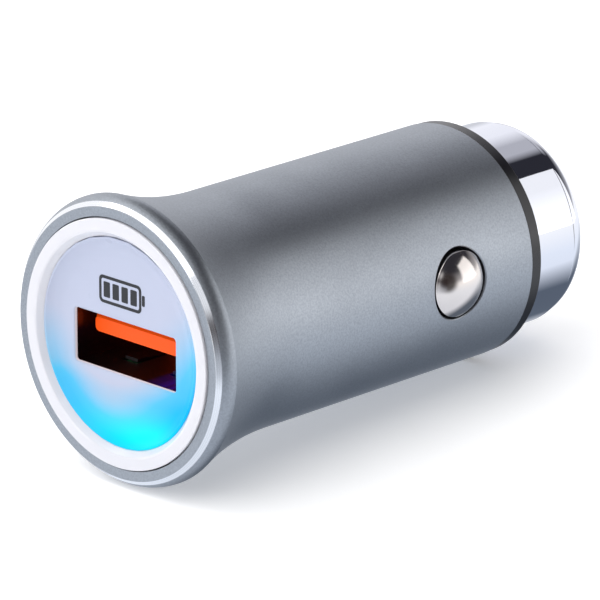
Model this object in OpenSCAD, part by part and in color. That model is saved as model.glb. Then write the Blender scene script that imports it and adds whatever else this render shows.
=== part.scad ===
// Car USB charger plug for a 12 V socket.
// The origin is the centre of the white ring's front face, on the barrel's axis.
// +Y runs along the axis from the face to the tip, +Z is up and +X is to the right of the port.

/* [Barrel] */
// Outer diameter of the straight barrel, in mm
barrel_d = 21.2; // [20.9:0.05:21.6]
// Length from the front face to the barrel's rear end
barrel_len = 40.3; // [38:0.1:44]
// Inner diameter of the barrel
bore_d = 18.8; // [18.4:0.1:19.2]

/* [Flange] */
// Outer diameter of the flange
flange_d = 25.4; // [24:0.1:28]
// Outer diameter of the flat front annulus, inside the polished cut edge
flange_face_d = 23.7; // [23:0.1:24.2]
// Depth of the flat front annulus behind the white ring's front
annulus_depth = 0.2; // [0.1:0.05:0.4]
// Width and depth of the polished cut edge round the annulus
cut_size = 0.4; // [0.2:0.05:0.6]
// Length of the rounded shoulder behind the cut edge
shoulder_len = 1.1; // [0.8:0.05:1.5]
// Length of the narrow land behind the shoulder
land_len = 0.15; // [0.1:0.05:1]
// Place along the axis where the flare meets the straight barrel
flare_end = 12.9; // [9:0.1:16]

/* [Face] */
// Outer diameter of the white bezel ring
bezel_d = 21.8; // [21:0.1:22.4]
// Inner diameter of the white bezel ring
bezel_in_d = 18.6; // [17.6:0.1:18.8]
// Depth of the ring's seat in the flange
bezel_seat = 3.0; // [2.6:0.1:4]
// Depth of the panel's flat middle behind the front face
panel_depth = 1.15; // [0.8:0.05:1.6]
// Diameter of the panel's flat middle, inside its cove
panel_flat_d = 14.4; // [13.8:0.1:16]

/* [Port] */
// Width of the slot in the panel
slot_w = 12.2; // [12.1:0.05:12.5]
// Height of the slot in the panel
slot_h = 4.75; // [4.6:0.05:5.1]
// Height of the port's middle above the axis
port_z = -0.67; // [-1.2:0.01:0]
// Inner width of the steel shell
shell_w = 12.5; // [12.3:0.05:12.6]
// Inner height of the steel shell
shell_h = 5.12; // [5.0:0.01:5.2]
// Thickness of the shell's sheet
shell_t = 0.3; // [0.25:0.05:0.35]
// Length of the steel shell
shell_len = 13.7; // [13:0.1:14.2]
// Gap between each side of the orange tongue and the shell
tongue_side = 0.7; // [0.65:0.05:0.8]
// Thickness of the orange tongue
tongue_t = 1.84; // [1.7:0.02:1.9]
// Depth of the tongue's front edge behind the front face
tongue_front = 2.9; // [2.4:0.1:3.6]

/* [Side contacts] */
// Distance of both side contacts from the barrel's rear end
contact_back = 9.2; // [8.4:0.1:10.4]
// Height of both side contacts above the axis
contact_z = 0.5; // [0:0.1:0.6]
// Diameter of a side contact
contact_d = 5.9; // [5:0.1:6.2]
// How far a contact stands out of the barrel
contact_out = 1.25; // [0.9:0.05:1.3]
// How far a contact can be pressed in
contact_travel = 1.35; // [1.3:0.05:1.8]
// Gap all round a contact in the barrel's opening
opening_gap = 0.25; // [0.15:0.05:0.35]

/* [Tip] */
// Outer diameter of the black insulating ring
ring_d = 21.1; // [20.7:0.05:21.2]
// Visible width of the black ring
ring_len = 1.15; // [0.8:0.05:1.6]
// Outer diameter of the chromed cap
cap_d = 18.5; // [18.2:0.1:19]
// Length of the chromed cap behind the black ring
cap_len = 7.85; // [7:0.05:8.6]
// Diameter of the centre contact
tip_d = 5.8; // [5:0.1:6.2]
// How far the centre contact stands out of the cap
tip_out = 5.2; // [4.2:0.1:5.8]
// How far the centre contact can be pressed in
tip_travel = 3.0; // [2:0.1:3.2]

/* [Inside] */
// Thickness of the circuit boards
board_t = 1.0; // [0.8:0.1:1.2]
// Width of the main board
board_w = 14.9; // [14.4:0.1:15]
// Outer diameter of the carrier
carrier_d = 18.6; // [18.2:0.1:18.6]
// Wall thickness of the carrier
carrier_t = 1.1; // [0.9:0.1:1.2]
// Running clearance between a sliding contact and its guide
run_gap = 0.05; // [0.03:0.01:0.08]

/* [Board parts] */
// Clearance between neighbouring parts on the board
part_gap = 0.4; // [0.3:0.1:0.6]
// Radius of a can capacitor's base
can_r = 2.3; // [2:0.1:2.5]
// Height of a can capacitor
can_h = 5.4; // [4.4:0.1:5.8]
// Distance of a can capacitor from the board's middle
can_x = 3.6; // [3.4:0.1:4.2]
// Side of the inductor's base
coil_w = 5.8; // [4:0.1:6]
// Radius of the inductor's round core
core_r = 2.55; // [1.8:0.05:2.8]
// Height of the inductor's core on its base
core_h = 2.0; // [1.2:0.1:2.2]
// Width of the converter's body
chip_w = 3.9; // [3:0.1:4]
// Length of the converter's body
chip_len = 4.9; // [3:0.1:5]
// Height of the converter
chip_h = 1.6; // [0.9:0.1:1.8]
// Distance between the converter's leads
lead_pitch = 1.27; // [0.65:0.01:1.27]
// Side of the port controller
control_w = 3.0; // [2:0.5:4]
// Height of the port controller
control_h = 0.9; // [0.7:0.1:1.2]
// Length of the diode's body
diode_len = 4.2; // [2.6:0.1:4.6]
// Width of the diode's body
diode_w = 2.6; // [1.6:0.1:2.8]
// Height of the diode
diode_h = 2.0; // [1:0.1:2.3]
// Length of the fuse
fuse_len = 4.5; // [3.2:0.1:4.6]
// Width of the fuse
fuse_w = 3.2; // [1.6:0.1:3.2]
// Height of the fuse
fuse_h = 1.2; // [0.8:0.1:1.4]
// Length of a chip resistor
resistor_len = 1.0; // [1:0.2:1.6]
// Width of a chip resistor
resistor_w = 0.5; // [0.5:0.1:0.8]
// Height of a chip resistor
resistor_h = 0.4; // [0.3:0.05:0.5]
// Distance from one chip resistor to the next
resistor_pitch = 0.8; // [0.8:0.1:1.2]

/* [Hidden] */

$fn = 72;
gap = 0.05;
far = 40;

barrel_r = barrel_d / 2;
bore_r = bore_d / 2;
flange_r = flange_d / 2;
face_r = flange_face_d / 2;
cut_r = face_r + cut_size;
cut_end = annulus_depth + cut_size;
shoulder_rise = flange_r - cut_r;
shoulder_steps = 5;
land_end = cut_end + shoulder_len + land_len;
flare_len = flare_end - land_end;
flare_rise = flange_r - barrel_r;
flare_r = (flare_len * flare_len + flare_rise * flare_rise) / (2 * flare_rise);
edge = 0.1;

bezel_r = bezel_d / 2;
seat_gap = 0.1;
seat_r = bezel_r + seat_gap;
bezel_in_r = bezel_in_d / 2;
bezel_front = 0;
seat_play = 0.02;
bezel_back = bezel_seat - seat_play;
rim_y = 0.5;
panel_r = bezel_in_r - gap;
panel_t = 1.15;
panel_back = panel_depth + panel_t;
ledge_w = 0.45;
ledge_r = bezel_in_r - ledge_w;
cove_edge = 0.2;
cove_top_r = panel_r - cove_edge;
cove_flat_r = panel_flat_d / 2;
cove_in = cove_top_r - cove_flat_r;
cove_rise = panel_depth - rim_y;
cove_r = (cove_in * cove_in + cove_rise * cove_rise) / (2 * cove_rise);

lip_t = 0.3;
lip_back = panel_depth + lip_t;
shell_front = lip_back + gap;
shell_back = shell_front + shell_len;
shell_out_w = shell_w + 2 * shell_t;
shell_out_h = shell_h + 2 * shell_t;
shell_floor = port_z - shell_out_h / 2;
tongue_w = shell_w - 2 * tongue_side;
tongue_drop = 0.69;
tongue_top = port_z + shell_h / 2 - tongue_drop;
tongue_z = tongue_top - tongue_t / 2;
root_len = 2.8;
tongue_root = shell_back - root_len;
finger_x = 2.9;
finger_w = 1.5;
finger_len = 4.4;
finger_back = 7.6;
blade_x = [-3.5, -1.0, 1.0, 3.5];
blade_w = 1.0;
blade_t = 0.3;
blade_low = tongue_z - tongue_t / 2 - 0.1;
tail_w = 0.6;
tail_back = 1.6;
tail_hole_w = 8.6;
tail_hole_l = 1.4;
tail_y = shell_back - tail_back;
leg_back = 6.7;
leg_y = shell_front + leg_back;
leg_len = 1.5;
leg_out = 0.25;
leg_low = shell_floor - board_t - leg_out;

board_top = shell_floor;
board_low = board_top - board_t;
board_back = 0.95;
board_start = bezel_seat + board_back;
led_y = bezel_seat + gap;
led_board_t = 0.8;
led_drop = 0.6;
led_h = 0.8;
led_w = 1.6;
led_t = 0.6;
led_pitch = 2.2;
led_top = shell_floor - led_drop;
lead_reach = 0.95;
lead_w = 0.4;
foot_h = 0.3;
can_base = 0.7;
groove = 0.15;
coil_y = shell_back + part_gap + coil_w / 2;
chip_y = board_start + part_gap + chip_len / 2;
control_y = chip_y + chip_len / 2 + part_gap;
behind_coil_y = coil_y + coil_w / 2 + part_gap;

carrier_r = carrier_d / 2;
carrier_in = carrier_r - carrier_t;
carrier_start = led_y + led_board_t + gap;
split_z = contact_z;
peg_r = 0.6;
peg_root = 1.0;
peg_h = 1.2;

contact_y = barrel_len - contact_back;
contact_r = contact_d / 2;
opening_r = contact_r + opening_gap;
guide_r = contact_r + run_gap;
collar_w = 0.55;
collar_r = contact_r + collar_w;
pocket_r = collar_r + run_gap;
pocket_in = 3.7;
pocket_end = barrel_r - pocket_in;
collar_out = pocket_end - run_gap;
collar_t = 0.8;
dome_h = 1.5;
dome_top = barrel_r + contact_out;
dome_base = dome_top - dome_h;
dome_r = (contact_r * contact_r + dome_h * dome_h) / (2 * dome_h);
cup_wall = 0.65;
cup_top = 0.95;
cup_r = contact_r - cup_wall;
cup_end = dome_base - cup_top;
seat_x = 1.5;
strap_t = 0.3;
strap_w = 1.6;
strap_half_h = 0.4;
plate_half = 2.0;
block_wall = 0.65;
block_half = pocket_r + block_wall;
block_start = contact_y - block_half;
block_end = contact_y + block_half;
block_low = board_top + gap;
peg_in = 0.95;
peg_y = pocket_r - peg_in;
board_over = 0.3;
wall_back = 0.2;
wall_t = 1.1;
wall_step = 1.1;
board_end = block_end + board_over;
wall_start = board_end + wall_back;
wall_end = wall_start + wall_t;
carrier_end = wall_end + wall_step;
side_wire_r = 0.2;
side_coil_gap = 0.2;
side_coil_r = cup_r - side_coil_gap - side_wire_r;
side_turns = 4;

ring_r = ring_d / 2;
ring_end = barrel_len + ring_len;
neck_inset = 1.25;
neck_wall = 1.5;
neck_r = cap_d / 2 - neck_inset;
neck_in = neck_r - neck_wall;
cap_end = ring_end + cap_len;
cap_r = cap_d / 2;
cap_wall = 1.2;
neck_back = 1.25;
neck_end = cap_end - cap_wall - neck_back;
bush_wall = 1.3;
cap_hole_r = tip_d / 2 + bush_wall;
rim_r = 1.9;
rim_step = 0.12;
rim_land = 0.2;
rim_out_r = cap_r - rim_step;
bush_out = 0.3;
nose_front = neck_end + gap;
nose_back = cap_end - cap_wall - gap;
tip_end = cap_end + tip_out;
tip_r = tip_d / 2;
tip_dome = 1.5;
tip_dome_r = (tip_r * tip_r + tip_dome * tip_dome) / (2 * tip_dome);
tip_collar_w = 0.8;
tip_collar_t = 1.15;
tail_len = 3.2;
tip_collar_r = tip_r + tip_collar_w;
tip_collar_out = nose_front - run_gap;
tip_collar_in = tip_collar_out - tip_collar_t;
tail_r = 1.4;
tail_end = tip_collar_in - tail_len;
tip_wire_r = 0.25;
tip_coil_r = 2.0;
tip_turns = 5;
cup_floor = wall_end + gap;
cup_t = 0.4;
cup_out_r = 3.4;
cup_len = 4.0;
cup_side = 0.3;
lead_half = 0.8;
lead_t = 0.3;
lead_over = 2.8;
lead_start = wall_start - lead_over;

// A profile of radius and distance along the axis, turned about the Y axis
module turned(sides = 72) {
    rotate([-90, 0, 0])
        rotate_extrude($fn = sides)
            children();
}

// A round bar along Y from one place to another
module bar_y(r, y0, y1, sides = 72) {
    translate([0, y0, 0])
        rotate([-90, 0, 0])
            cylinder(r = r, h = y1 - y0, $fn = sides);
}

// A round bar along X at the height and place of the side contacts
module bar_x(r, x0, x1, sides = 48) {
    translate([x0, contact_y, contact_z])
        rotate([0, 90, 0])
            cylinder(r = r, h = x1 - x0, $fn = sides);
}

// A block given by its two corners
module block(low, high) {
    translate(low)
        cube(high - low);
}

// A slot along Y with rounded corners, its middle on the Z axis
module rounded_slot(w, h, r, y0, y1) {
    block([-w / 2 + r, y0, -h / 2], [w / 2 - r, y1, h / 2]);
    block([-w / 2, y0, -h / 2 + r], [w / 2, y1, h / 2 - r]);
    for (sx = [-1, 1], sz = [-1, 1])
        translate([sx * (w / 2 - r), 0, sz * (h / 2 - r)])
            bar_y(r, y0, y1, 24);
}

// Half a turn of wire, tilted so that the next half turn carries on from its end
module half_turn(coil_r, wire_r, rise, side) {
    rotate([0, -side * atan(rise / (2 * coil_r)), 0])
        rotate([0, 0, side > 0 ? 0 : 180])
            rotate_extrude(angle = 180, $fn = 14)
                translate([coil_r, 0])
                    circle(r = wire_r, $fn = 14);
}

// A coil spring along Z with closed, flat end turns
module coil(coil_r, wire_r, length, turns) {
    rise = (length - 2 * wire_r) / (2 * turns);
    for (i = [0:2 * turns - 1])
        translate([0, 0, wire_r + rise * (i + 0.5)])
            half_turn(coil_r, wire_r, rise, i % 2 == 0 ? 1 : -1);
    for (i = [1:2 * turns - 1])
        translate([(i % 2 == 1 ? 1 : -1) * coil_r * cos(atan(rise / (2 * coil_r))), 0, wire_r + rise * i])
            sphere(r = wire_r * 1.25, $fn = 14);
}

// Point of the shoulder's profile at a share of its length: it meets the land without a corner
function shoulder_point(share) =
    [flange_r - shoulder_rise * pow(1 - share, 2), cut_end + shoulder_len * share];

// Aluminium barrel with its flared flange
module barrel() {
    color([0.47, 0.50, 0.53])
    difference() {
        turned(96)
            difference() {
                polygon(concat([
                    [bore_r, bezel_seat], [seat_r, bezel_seat],
                    [seat_r, annulus_depth], [face_r, annulus_depth]
                ], [for (i = [0:shoulder_steps]) shoulder_point(i / shoulder_steps)], [
                    [flange_r, flare_end], [barrel_r, flare_end],
                    [barrel_r, barrel_len - edge], [barrel_r - edge, barrel_len],
                    [bore_r, barrel_len]
                ]));
                translate([barrel_r + flare_r, flare_end])
                    circle(r = flare_r, $fn = 240);
            }
        bar_x(opening_r, -far, far);
    }
}

// White ring that frames the panel
module bezel_ring() {
    color([0.93, 0.93, 0.95])
    turned(96)
        polygon([
            [ledge_r, panel_back + 0.02], [bezel_in_r, panel_back + 0.02],
            [bezel_in_r, rim_y + 0.05], [bezel_in_r + 0.45, bezel_front + 0.05],
            [bezel_in_r + 0.6, bezel_front], [bezel_r - 0.15, bezel_front],
            [bezel_r - 0.05, bezel_front + 0.04], [bezel_r, bezel_front + 0.15],
            [bezel_r, bezel_back], [ledge_r, bezel_back]
        ]);
}

// Translucent panel: a flat middle, a cove round it and the slot of the port
module face_panel() {
    color([0.62, 0.80, 0.95])
    difference() {
        turned(96)
            difference() {
                polygon([[0, rim_y], [panel_r, rim_y], [panel_r, panel_back], [0, panel_back]]);
                translate([cove_flat_r, panel_depth - cove_r])
                    circle(r = cove_r, $fn = 96);
                polygon([[-1, -1], [cove_flat_r, -1], [cove_flat_r, panel_depth], [-1, panel_depth]]);
            }
        translate([0, 0, port_z]) {
            rounded_slot(slot_w, slot_h, 0.3, -1, far);
            block([-shell_out_w / 2 - 0.1, lip_back, -shell_out_h / 2 - 0.1],
                [shell_out_w / 2 + 0.1, far, shell_out_h / 2 + 0.1]);
        }
    }
}

// One spring finger cut out of the shell's roof or floor, and bent inwards
module finger(x, up) {
    translate([x, shell_front + finger_back, up * (shell_h / 2 + shell_t / 2)])
        rotate([up * 4, 0, 0])
            translate([-finger_w / 2, -finger_len, -shell_t / 2])
                cube([finger_w, finger_len, shell_t]);
}

// Steel shell of the port
module usb_shell() {
    color([0.72, 0.73, 0.75])
    translate([0, 0, port_z]) {
        difference() {
            block([-shell_out_w / 2, shell_front, -shell_out_h / 2],
                [shell_out_w / 2, shell_back, shell_out_h / 2]);
            block([-shell_w / 2, shell_front - 1, -shell_h / 2],
                [shell_w / 2, shell_back - shell_t, shell_h / 2]);
            for (x = [-finger_x, finger_x])
                block([x - finger_w / 2 - 0.2, shell_front + finger_back - finger_len - 0.3, -far],
                    [x + finger_w / 2 + 0.2, shell_front + finger_back - 0.15, far]);
            block([-tail_hole_w / 2, tail_y - tail_hole_l / 2, -far],
                [tail_hole_w / 2, tail_y + tail_hole_l / 2, 0]);
        }
        for (x = [-finger_x, finger_x], up = [-1, 1])
            finger(x, up);
        for (s = [-1, 1])
            block([s * (shell_out_w - shell_t) / 2 - shell_t / 2, leg_y, leg_low - port_z],
                [s * (shell_out_w - shell_t) / 2 + shell_t / 2, leg_y + leg_len, -shell_out_h / 2 + 0.1]);
    }
}

// One contact blade with its tail, wider all round by a clearance
module blade(x, grow = 0) {
    block([x - blade_w / 2 - grow, tongue_front + 0.7 - grow, blade_low - (grow > 0 ? 1 : 0)],
        [x + blade_w / 2 + grow, tail_y + 0.2 + grow, blade_low + blade_t + grow]);
    block([x - tail_w / 2 - grow, tail_y - 0.2 - grow, board_low - 0.6 - grow],
        [x + tail_w / 2 + grow, tail_y + 0.2 + grow, blade_low + 0.1]);
}

// Orange tongue and the block that carries it
module usb_tongue() {
    c = 0.15;
    color([0.98, 0.36, 0.10])
    difference() {
        union() {
            translate([-tongue_w / 2, 0, tongue_z - tongue_t / 2])
                rotate([90, 0, 90])
                    linear_extrude(height = tongue_w)
                        polygon([
                            [tongue_front + c, 0], [tongue_root + 0.5, 0], [tongue_root + 0.5, tongue_t],
                            [tongue_front + c, tongue_t], [tongue_front, tongue_t - c], [tongue_front, c]
                        ]);
            block([-shell_w / 2 + gap, tongue_root, port_z - shell_h / 2 + gap],
                [shell_w / 2 - gap, shell_back - shell_t - gap, port_z + shell_h / 2 - gap]);
        }
        for (x = blade_x)
            blade(x, 0.02);
    }
}

// The four contact blades
module usb_contacts() {
    color([0.83, 0.68, 0.35])
    for (x = blade_x)
        blade(x);
}

// Strap behind both side springs, with a leg down to the board on each side
module strap(grow = 0) {
    for (s = [-1, 1])
        mirror([s < 0 ? 1 : 0, 0, 0]) {
            block([seat_x - strap_t - grow, contact_y - plate_half - grow, contact_z - plate_half - grow],
                [seat_x + grow, contact_y + plate_half + grow, contact_z + plate_half + grow]);
            block([seat_x - strap_t - grow, contact_y - strap_w / 2 - grow, board_top - (grow > 0 ? 1 : 0)],
                [seat_x + grow, contact_y + strap_w / 2 + grow, contact_z]);
        }
    block([-seat_x, contact_y - strap_w / 2 - grow, contact_z - strap_half_h - grow],
        [seat_x, contact_y + strap_w / 2 + grow, contact_z + strap_half_h + grow]);
}

// Everything that the carrier holds or leaves room for
module carrier_room() {
    block([-board_w / 2 - gap, carrier_start - 1, board_low - gap],
        [board_w / 2 + gap, board_end + gap, board_top + gap]);
    block([-shell_out_w / 2 - gap, carrier_start - 1, shell_floor - gap],
        [shell_out_w / 2 + gap, shell_back + gap, shell_floor + shell_out_h + gap]);
    block([-shell_out_w / 2 - gap, leg_y - gap, leg_low - gap],
        [shell_out_w / 2 + gap, leg_y + leg_len + gap, shell_floor]);
    bar_x(guide_r, -far, -pocket_end + 0.5);
    bar_x(guide_r, pocket_end - 0.5, far);
    bar_x(pocket_r, -pocket_end, -seat_x + strap_t + gap);
    bar_x(pocket_r, seat_x - strap_t - gap, pocket_end);
    strap(gap);
    block([-lead_half - 2 * gap, board_end, board_low - lead_t - 2 * gap],
        [lead_half + 2 * gap, wall_end + far, board_low + gap]);
}

// Tube, contact block and rear wall of the carrier, before the split
module carrier_body() {
    difference() {
        bar_y(carrier_r, carrier_start, carrier_end);
        bar_y(carrier_in, carrier_start - 1, carrier_end + 1);
    }
    intersection() {
        bar_y(carrier_in + 0.4, carrier_start, carrier_end);
        union() {
            block([-far, block_start, block_low], [far, block_end, contact_z + pocket_r + 0.5]);
            block([-far, wall_start, -far], [far, wall_end, far]);
        }
    }
}

// Lower half of the carrier
module carrier_lower() {
    color([0.16, 0.16, 0.17]) {
        difference() {
            carrier_body();
            carrier_room();
            block([-far, -far, split_z], [far, far + far, far]);
        }
        for (s = [-1, 1])
            translate([0, contact_y + s * peg_y, split_z - peg_root])
                cylinder(r = peg_r, h = peg_root + peg_h, $fn = 24);
    }
}

// Upper half of the carrier
module carrier_upper() {
    color([0.16, 0.16, 0.17])
    difference() {
        carrier_body();
        carrier_room();
        block([-far, -far, -far], [far, far + far, split_z]);
        for (s = [-1, 1])
            translate([0, contact_y + s * peg_y, split_z - peg_root])
                cylinder(r = peg_r + gap, h = peg_root + peg_h + seat_gap, $fn = 24);
    }
}

// Main circuit board with its holes for the shell's legs and the blades' tails
module main_board() {
    color([0.10, 0.35, 0.22])
    difference() {
        block([-board_w / 2, board_start, board_low], [board_w / 2, board_end, board_top]);
        for (s = [-1, 1])
            block([s * (shell_out_w - shell_t) / 2 - shell_t / 2 - gap, leg_y - gap, -far],
                [s * (shell_out_w - shell_t) / 2 + shell_t / 2 + gap, leg_y + leg_len + gap, far]);
        for (x = blade_x)
            block([x - tail_w / 2 - gap, tail_y - 0.2 - gap, -far],
                [x + tail_w / 2 + gap, tail_y + 0.2 + gap, far]);
    }
}

// Round board behind the panel
module led_board() {
    color([0.88, 0.89, 0.90])
    difference() {
        bar_y(carrier_r, led_y, led_y + led_board_t);
        block([-shell_out_w / 2 - 0.1, 0, port_z - shell_out_h / 2 - 0.1],
            [shell_out_w / 2 + 0.1, far, port_z + shell_out_h / 2 + 0.1]);
    }
}

// Row of lamps on the round board, below the port
module status_leds() {
    color([0.55, 0.90, 1.00])
    for (i = [-2:2])
        block([i * led_pitch - led_w / 2, led_y - led_t, led_top - led_h],
            [i * led_pitch + led_w / 2, led_y, led_top]);
}

// Turns a part over, onto the board's underside
module underside(x, y) {
    translate([x, y, board_low])
        mirror([0, 0, 1])
            children();
}

// Step-down converter with its eight leads
module converter_chip() {
    reach = chip_w / 2 + lead_reach;
    color([0.12, 0.12, 0.13])
    underside(0, chip_y) {
        block([-chip_w / 2, -chip_len / 2, foot_h / 2], [chip_w / 2, chip_len / 2, chip_h]);
        for (i = [-1.5:1:1.5])
            block([-reach, i * lead_pitch - lead_w / 2, 0], [reach, i * lead_pitch + lead_w / 2, foot_h]);
    }
}

// Port controller beside the converter
module charge_chip() {
    color([0.12, 0.12, 0.13])
    underside(-control_w, control_y)
        block([0, 0, 0], [control_w, control_w, control_h]);
}

// Shielded inductor
module power_inductor() {
    color([0.30, 0.30, 0.32])
    underside(0, coil_y) {
        block([-coil_w / 2, -coil_w / 2, 0], [coil_w / 2, coil_w / 2, can_base]);
        translate([0, 0, can_base])
            cylinder(r = core_r, h = core_h, $fn = 48);
    }
}

// Can capacitor: square base, can and groove
module can_capacitor(x) {
    body_r = can_r - 0.1;
    body_h = can_h - can_base;
    translate([x, shell_back + part_gap + can_r, board_top]) {
        block([-can_r, -can_r, 0], [can_r, can_r, can_base]);
        translate([0, 0, can_base])
            rotate_extrude($fn = 48)
                polygon([[0, 0], [body_r, 0], [body_r, 0.8], [body_r - groove, 1.0], [body_r, 1.2],
                    [body_r, body_h - 0.3], [body_r - 0.2, body_h], [0, body_h]]);
    }
}

// Capacitor on the port's side of the circuit
module output_capacitor() {
    color([0.78, 0.79, 0.80])
    can_capacitor(can_x);
}

// Capacitor on the socket's side of the circuit
module input_capacitor() {
    color([0.78, 0.79, 0.80])
    can_capacitor(-can_x);
}

// Diode behind the inductor
module schottky_diode() {
    foot = 0.5;
    length = diode_len + 2 * foot;
    color([0.12, 0.12, 0.13])
    underside(part_gap + lead_half, behind_coil_y) {
        block([0, foot, foot_h / 2], [diode_w, foot + diode_len, diode_h]);
        block([diode_w / 4, 0, 0], [diode_w * 3 / 4, length, foot_h]);
    }
}

// Flat fuse beside the diode
module board_fuse() {
    color([0.85, 0.82, 0.72])
    underside(-part_gap - lead_half - fuse_w, behind_coil_y)
        block([0, 0, 0], [fuse_w, fuse_len, fuse_h]);
}

// Small chip parts between the two capacitors
module chip_resistors() {
    color([0.20, 0.20, 0.22])
    for (i = [0:5])
        translate([-resistor_len / 2, shell_back + part_gap + i * resistor_pitch, board_top])
            block([0, 0, 0], [resistor_len, resistor_w, resistor_h]);
}

// Domed side contact with its collar, hollow for the spring, on the right
module side_contact() {
    color([0.86, 0.84, 0.82])
    translate([0, contact_y, contact_z])
        rotate([0, 90, 0])
            rotate_extrude($fn = 48)
                difference() {
                    polygon([
                        [cup_r, collar_out - collar_t], [collar_r, collar_out - collar_t],
                        [collar_r, collar_out], [contact_r, collar_out], [contact_r, dome_top],
                        [0, dome_top], [0, cup_end], [cup_r, cup_end]
                    ]);
                    difference() {
                        polygon([[-far, dome_base], [far, dome_base],
                            [far, dome_top + far], [-far, dome_top + far]]);
                        translate([0, dome_top - dome_r])
                            circle(r = dome_r, $fn = 96);
                    }
                }
}

// Right side contact
module side_contact_right() {
    side_contact();
}

// Left side contact
module side_contact_left() {
    mirror([1, 0, 0])
        side_contact();
}

// Coil spring inside a side contact, on the right
module side_spring() {
    color([0.70, 0.70, 0.72])
    translate([seat_x, contact_y, contact_z])
        rotate([0, 90, 0])
            coil(side_coil_r, side_wire_r, cup_end - seat_x, side_turns);
}

// Spring of the right side contact
module side_spring_right() {
    side_spring();
}

// Spring of the left side contact
module side_spring_left() {
    mirror([1, 0, 0])
        side_spring();
}

// Brass strap that joins both side springs to the board
module ground_strap() {
    color([0.83, 0.68, 0.35])
    strap();
}

// Black ring behind the barrel, with the neck that carries the cap
module insulator_ring() {
    color([0.07, 0.07, 0.08])
    turned()
        polygon([
            [neck_in, carrier_end + gap], [bore_r - gap, carrier_end + gap],
            [bore_r - gap, barrel_len], [ring_r, barrel_len], [ring_r, ring_end - edge],
            [ring_r - edge, ring_end], [neck_r, ring_end], [neck_r, neck_end], [neck_in, neck_end]
        ]);
}

// Chromed cap with its rounded rear rim
module end_cap() {
    color([0.90, 0.91, 0.93])
    turned()
        difference() {
            polygon([
                [neck_r + gap, ring_end + gap], [cap_r - edge, ring_end + gap],
                [cap_r, ring_end + gap + edge], [cap_r, cap_end - rim_r - rim_land],
                [rim_out_r, cap_end - rim_r - rim_land / 2], [rim_out_r, cap_end],
                [cap_hole_r, cap_end], [cap_hole_r, cap_end - cap_wall],
                [neck_r + gap, cap_end - cap_wall]
            ]);
            difference() {
                polygon([[rim_out_r - rim_r, cap_end - rim_r], [cap_r + far, cap_end - rim_r],
                    [cap_r + far, cap_end + far], [rim_out_r - rim_r, cap_end + far]]);
                translate([rim_out_r - rim_r, cap_end - rim_r])
                    circle(r = rim_r, $fn = 48);
            }
        }
}

// Bush that guides the centre contact through the cap
module nose_insulator() {
    color([0.90, 0.90, 0.88])
    turned()
        polygon([
            [tip_r + run_gap, nose_front], [neck_r - 0.1, nose_front], [neck_r - 0.1, nose_back],
            [cap_hole_r - gap, nose_back], [cap_hole_r - gap, cap_end + bush_out],
            [tip_r + run_gap, cap_end + bush_out]
        ]);
}

// Centre contact: dome, collar and the tail inside its spring
module tip_contact() {
    color([0.86, 0.84, 0.82])
    turned()
        difference() {
            polygon([
                [0, tail_end], [tail_r, tail_end], [tail_r, tip_collar_in],
                [tip_collar_r, tip_collar_in], [tip_collar_r, tip_collar_out],
                [tip_r, tip_collar_out], [tip_r, tip_end], [0, tip_end]
            ]);
            difference() {
                polygon([[-far, tip_end - tip_dome], [far, tip_end - tip_dome],
                    [far, tip_end + far], [-far, tip_end + far]]);
                translate([0, tip_end - tip_dome_r])
                    circle(r = tip_dome_r, $fn = 96);
            }
        }
}

// Coil spring behind the centre contact
module tip_spring() {
    color([0.70, 0.70, 0.72])
    translate([0, cup_floor + cup_t, 0])
        rotate([-90, 0, 0])
            coil(tip_coil_r, tip_wire_r, tip_collar_in - cup_floor - cup_t, tip_turns);
}

// Cup that the tip spring stands in
module spring_cup() {
    color([0.83, 0.68, 0.35])
    turned(48)
        polygon([
            [0, cup_floor], [cup_out_r, cup_floor], [cup_out_r, cup_floor + cup_len],
            [cup_out_r - cup_side, cup_floor + cup_len], [cup_out_r - cup_side, cup_floor + cup_t],
            [0, cup_floor + cup_t]
        ]);
}

// Strip from the cup to the board's underside
module positive_lead() {
    color([0.83, 0.68, 0.35])
    union() {
        block([-lead_half, cup_floor, board_low - lead_t], [lead_half, cup_floor + lead_t, -cup_out_r]);
        block([-lead_half, lead_start, board_low - lead_t], [lead_half, cup_floor + lead_t, board_low]);
    }
}

barrel();
bezel_ring();
face_panel();
usb_shell();
usb_tongue();
usb_contacts();
carrier_upper();
carrier_lower();
main_board();
led_board();
status_leds();
converter_chip();
charge_chip();
power_inductor();
input_capacitor();
output_capacitor();
schottky_diode();
board_fuse();
chip_resistors();
side_contact_right();
side_contact_left();
side_spring_right();
side_spring_left();
ground_strap();
insulator_ring();
end_cap();
nose_insulator();
tip_contact();
tip_spring();
spring_cup();
positive_lead();
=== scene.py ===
"""The looks of a car USB charger plug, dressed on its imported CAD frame.

Sizes in the classes are millimetres in the plug's own frame: the origin is the centre of the white
ring's front face, +Y runs along the barrel to the tip, +Z is up and +X is to the right of the port.
Meshes are made in millimetres and turned to metres once, when they reach Blender.
"""

import logging
import math
from dataclasses import dataclass, field
from enum import Enum

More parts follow.
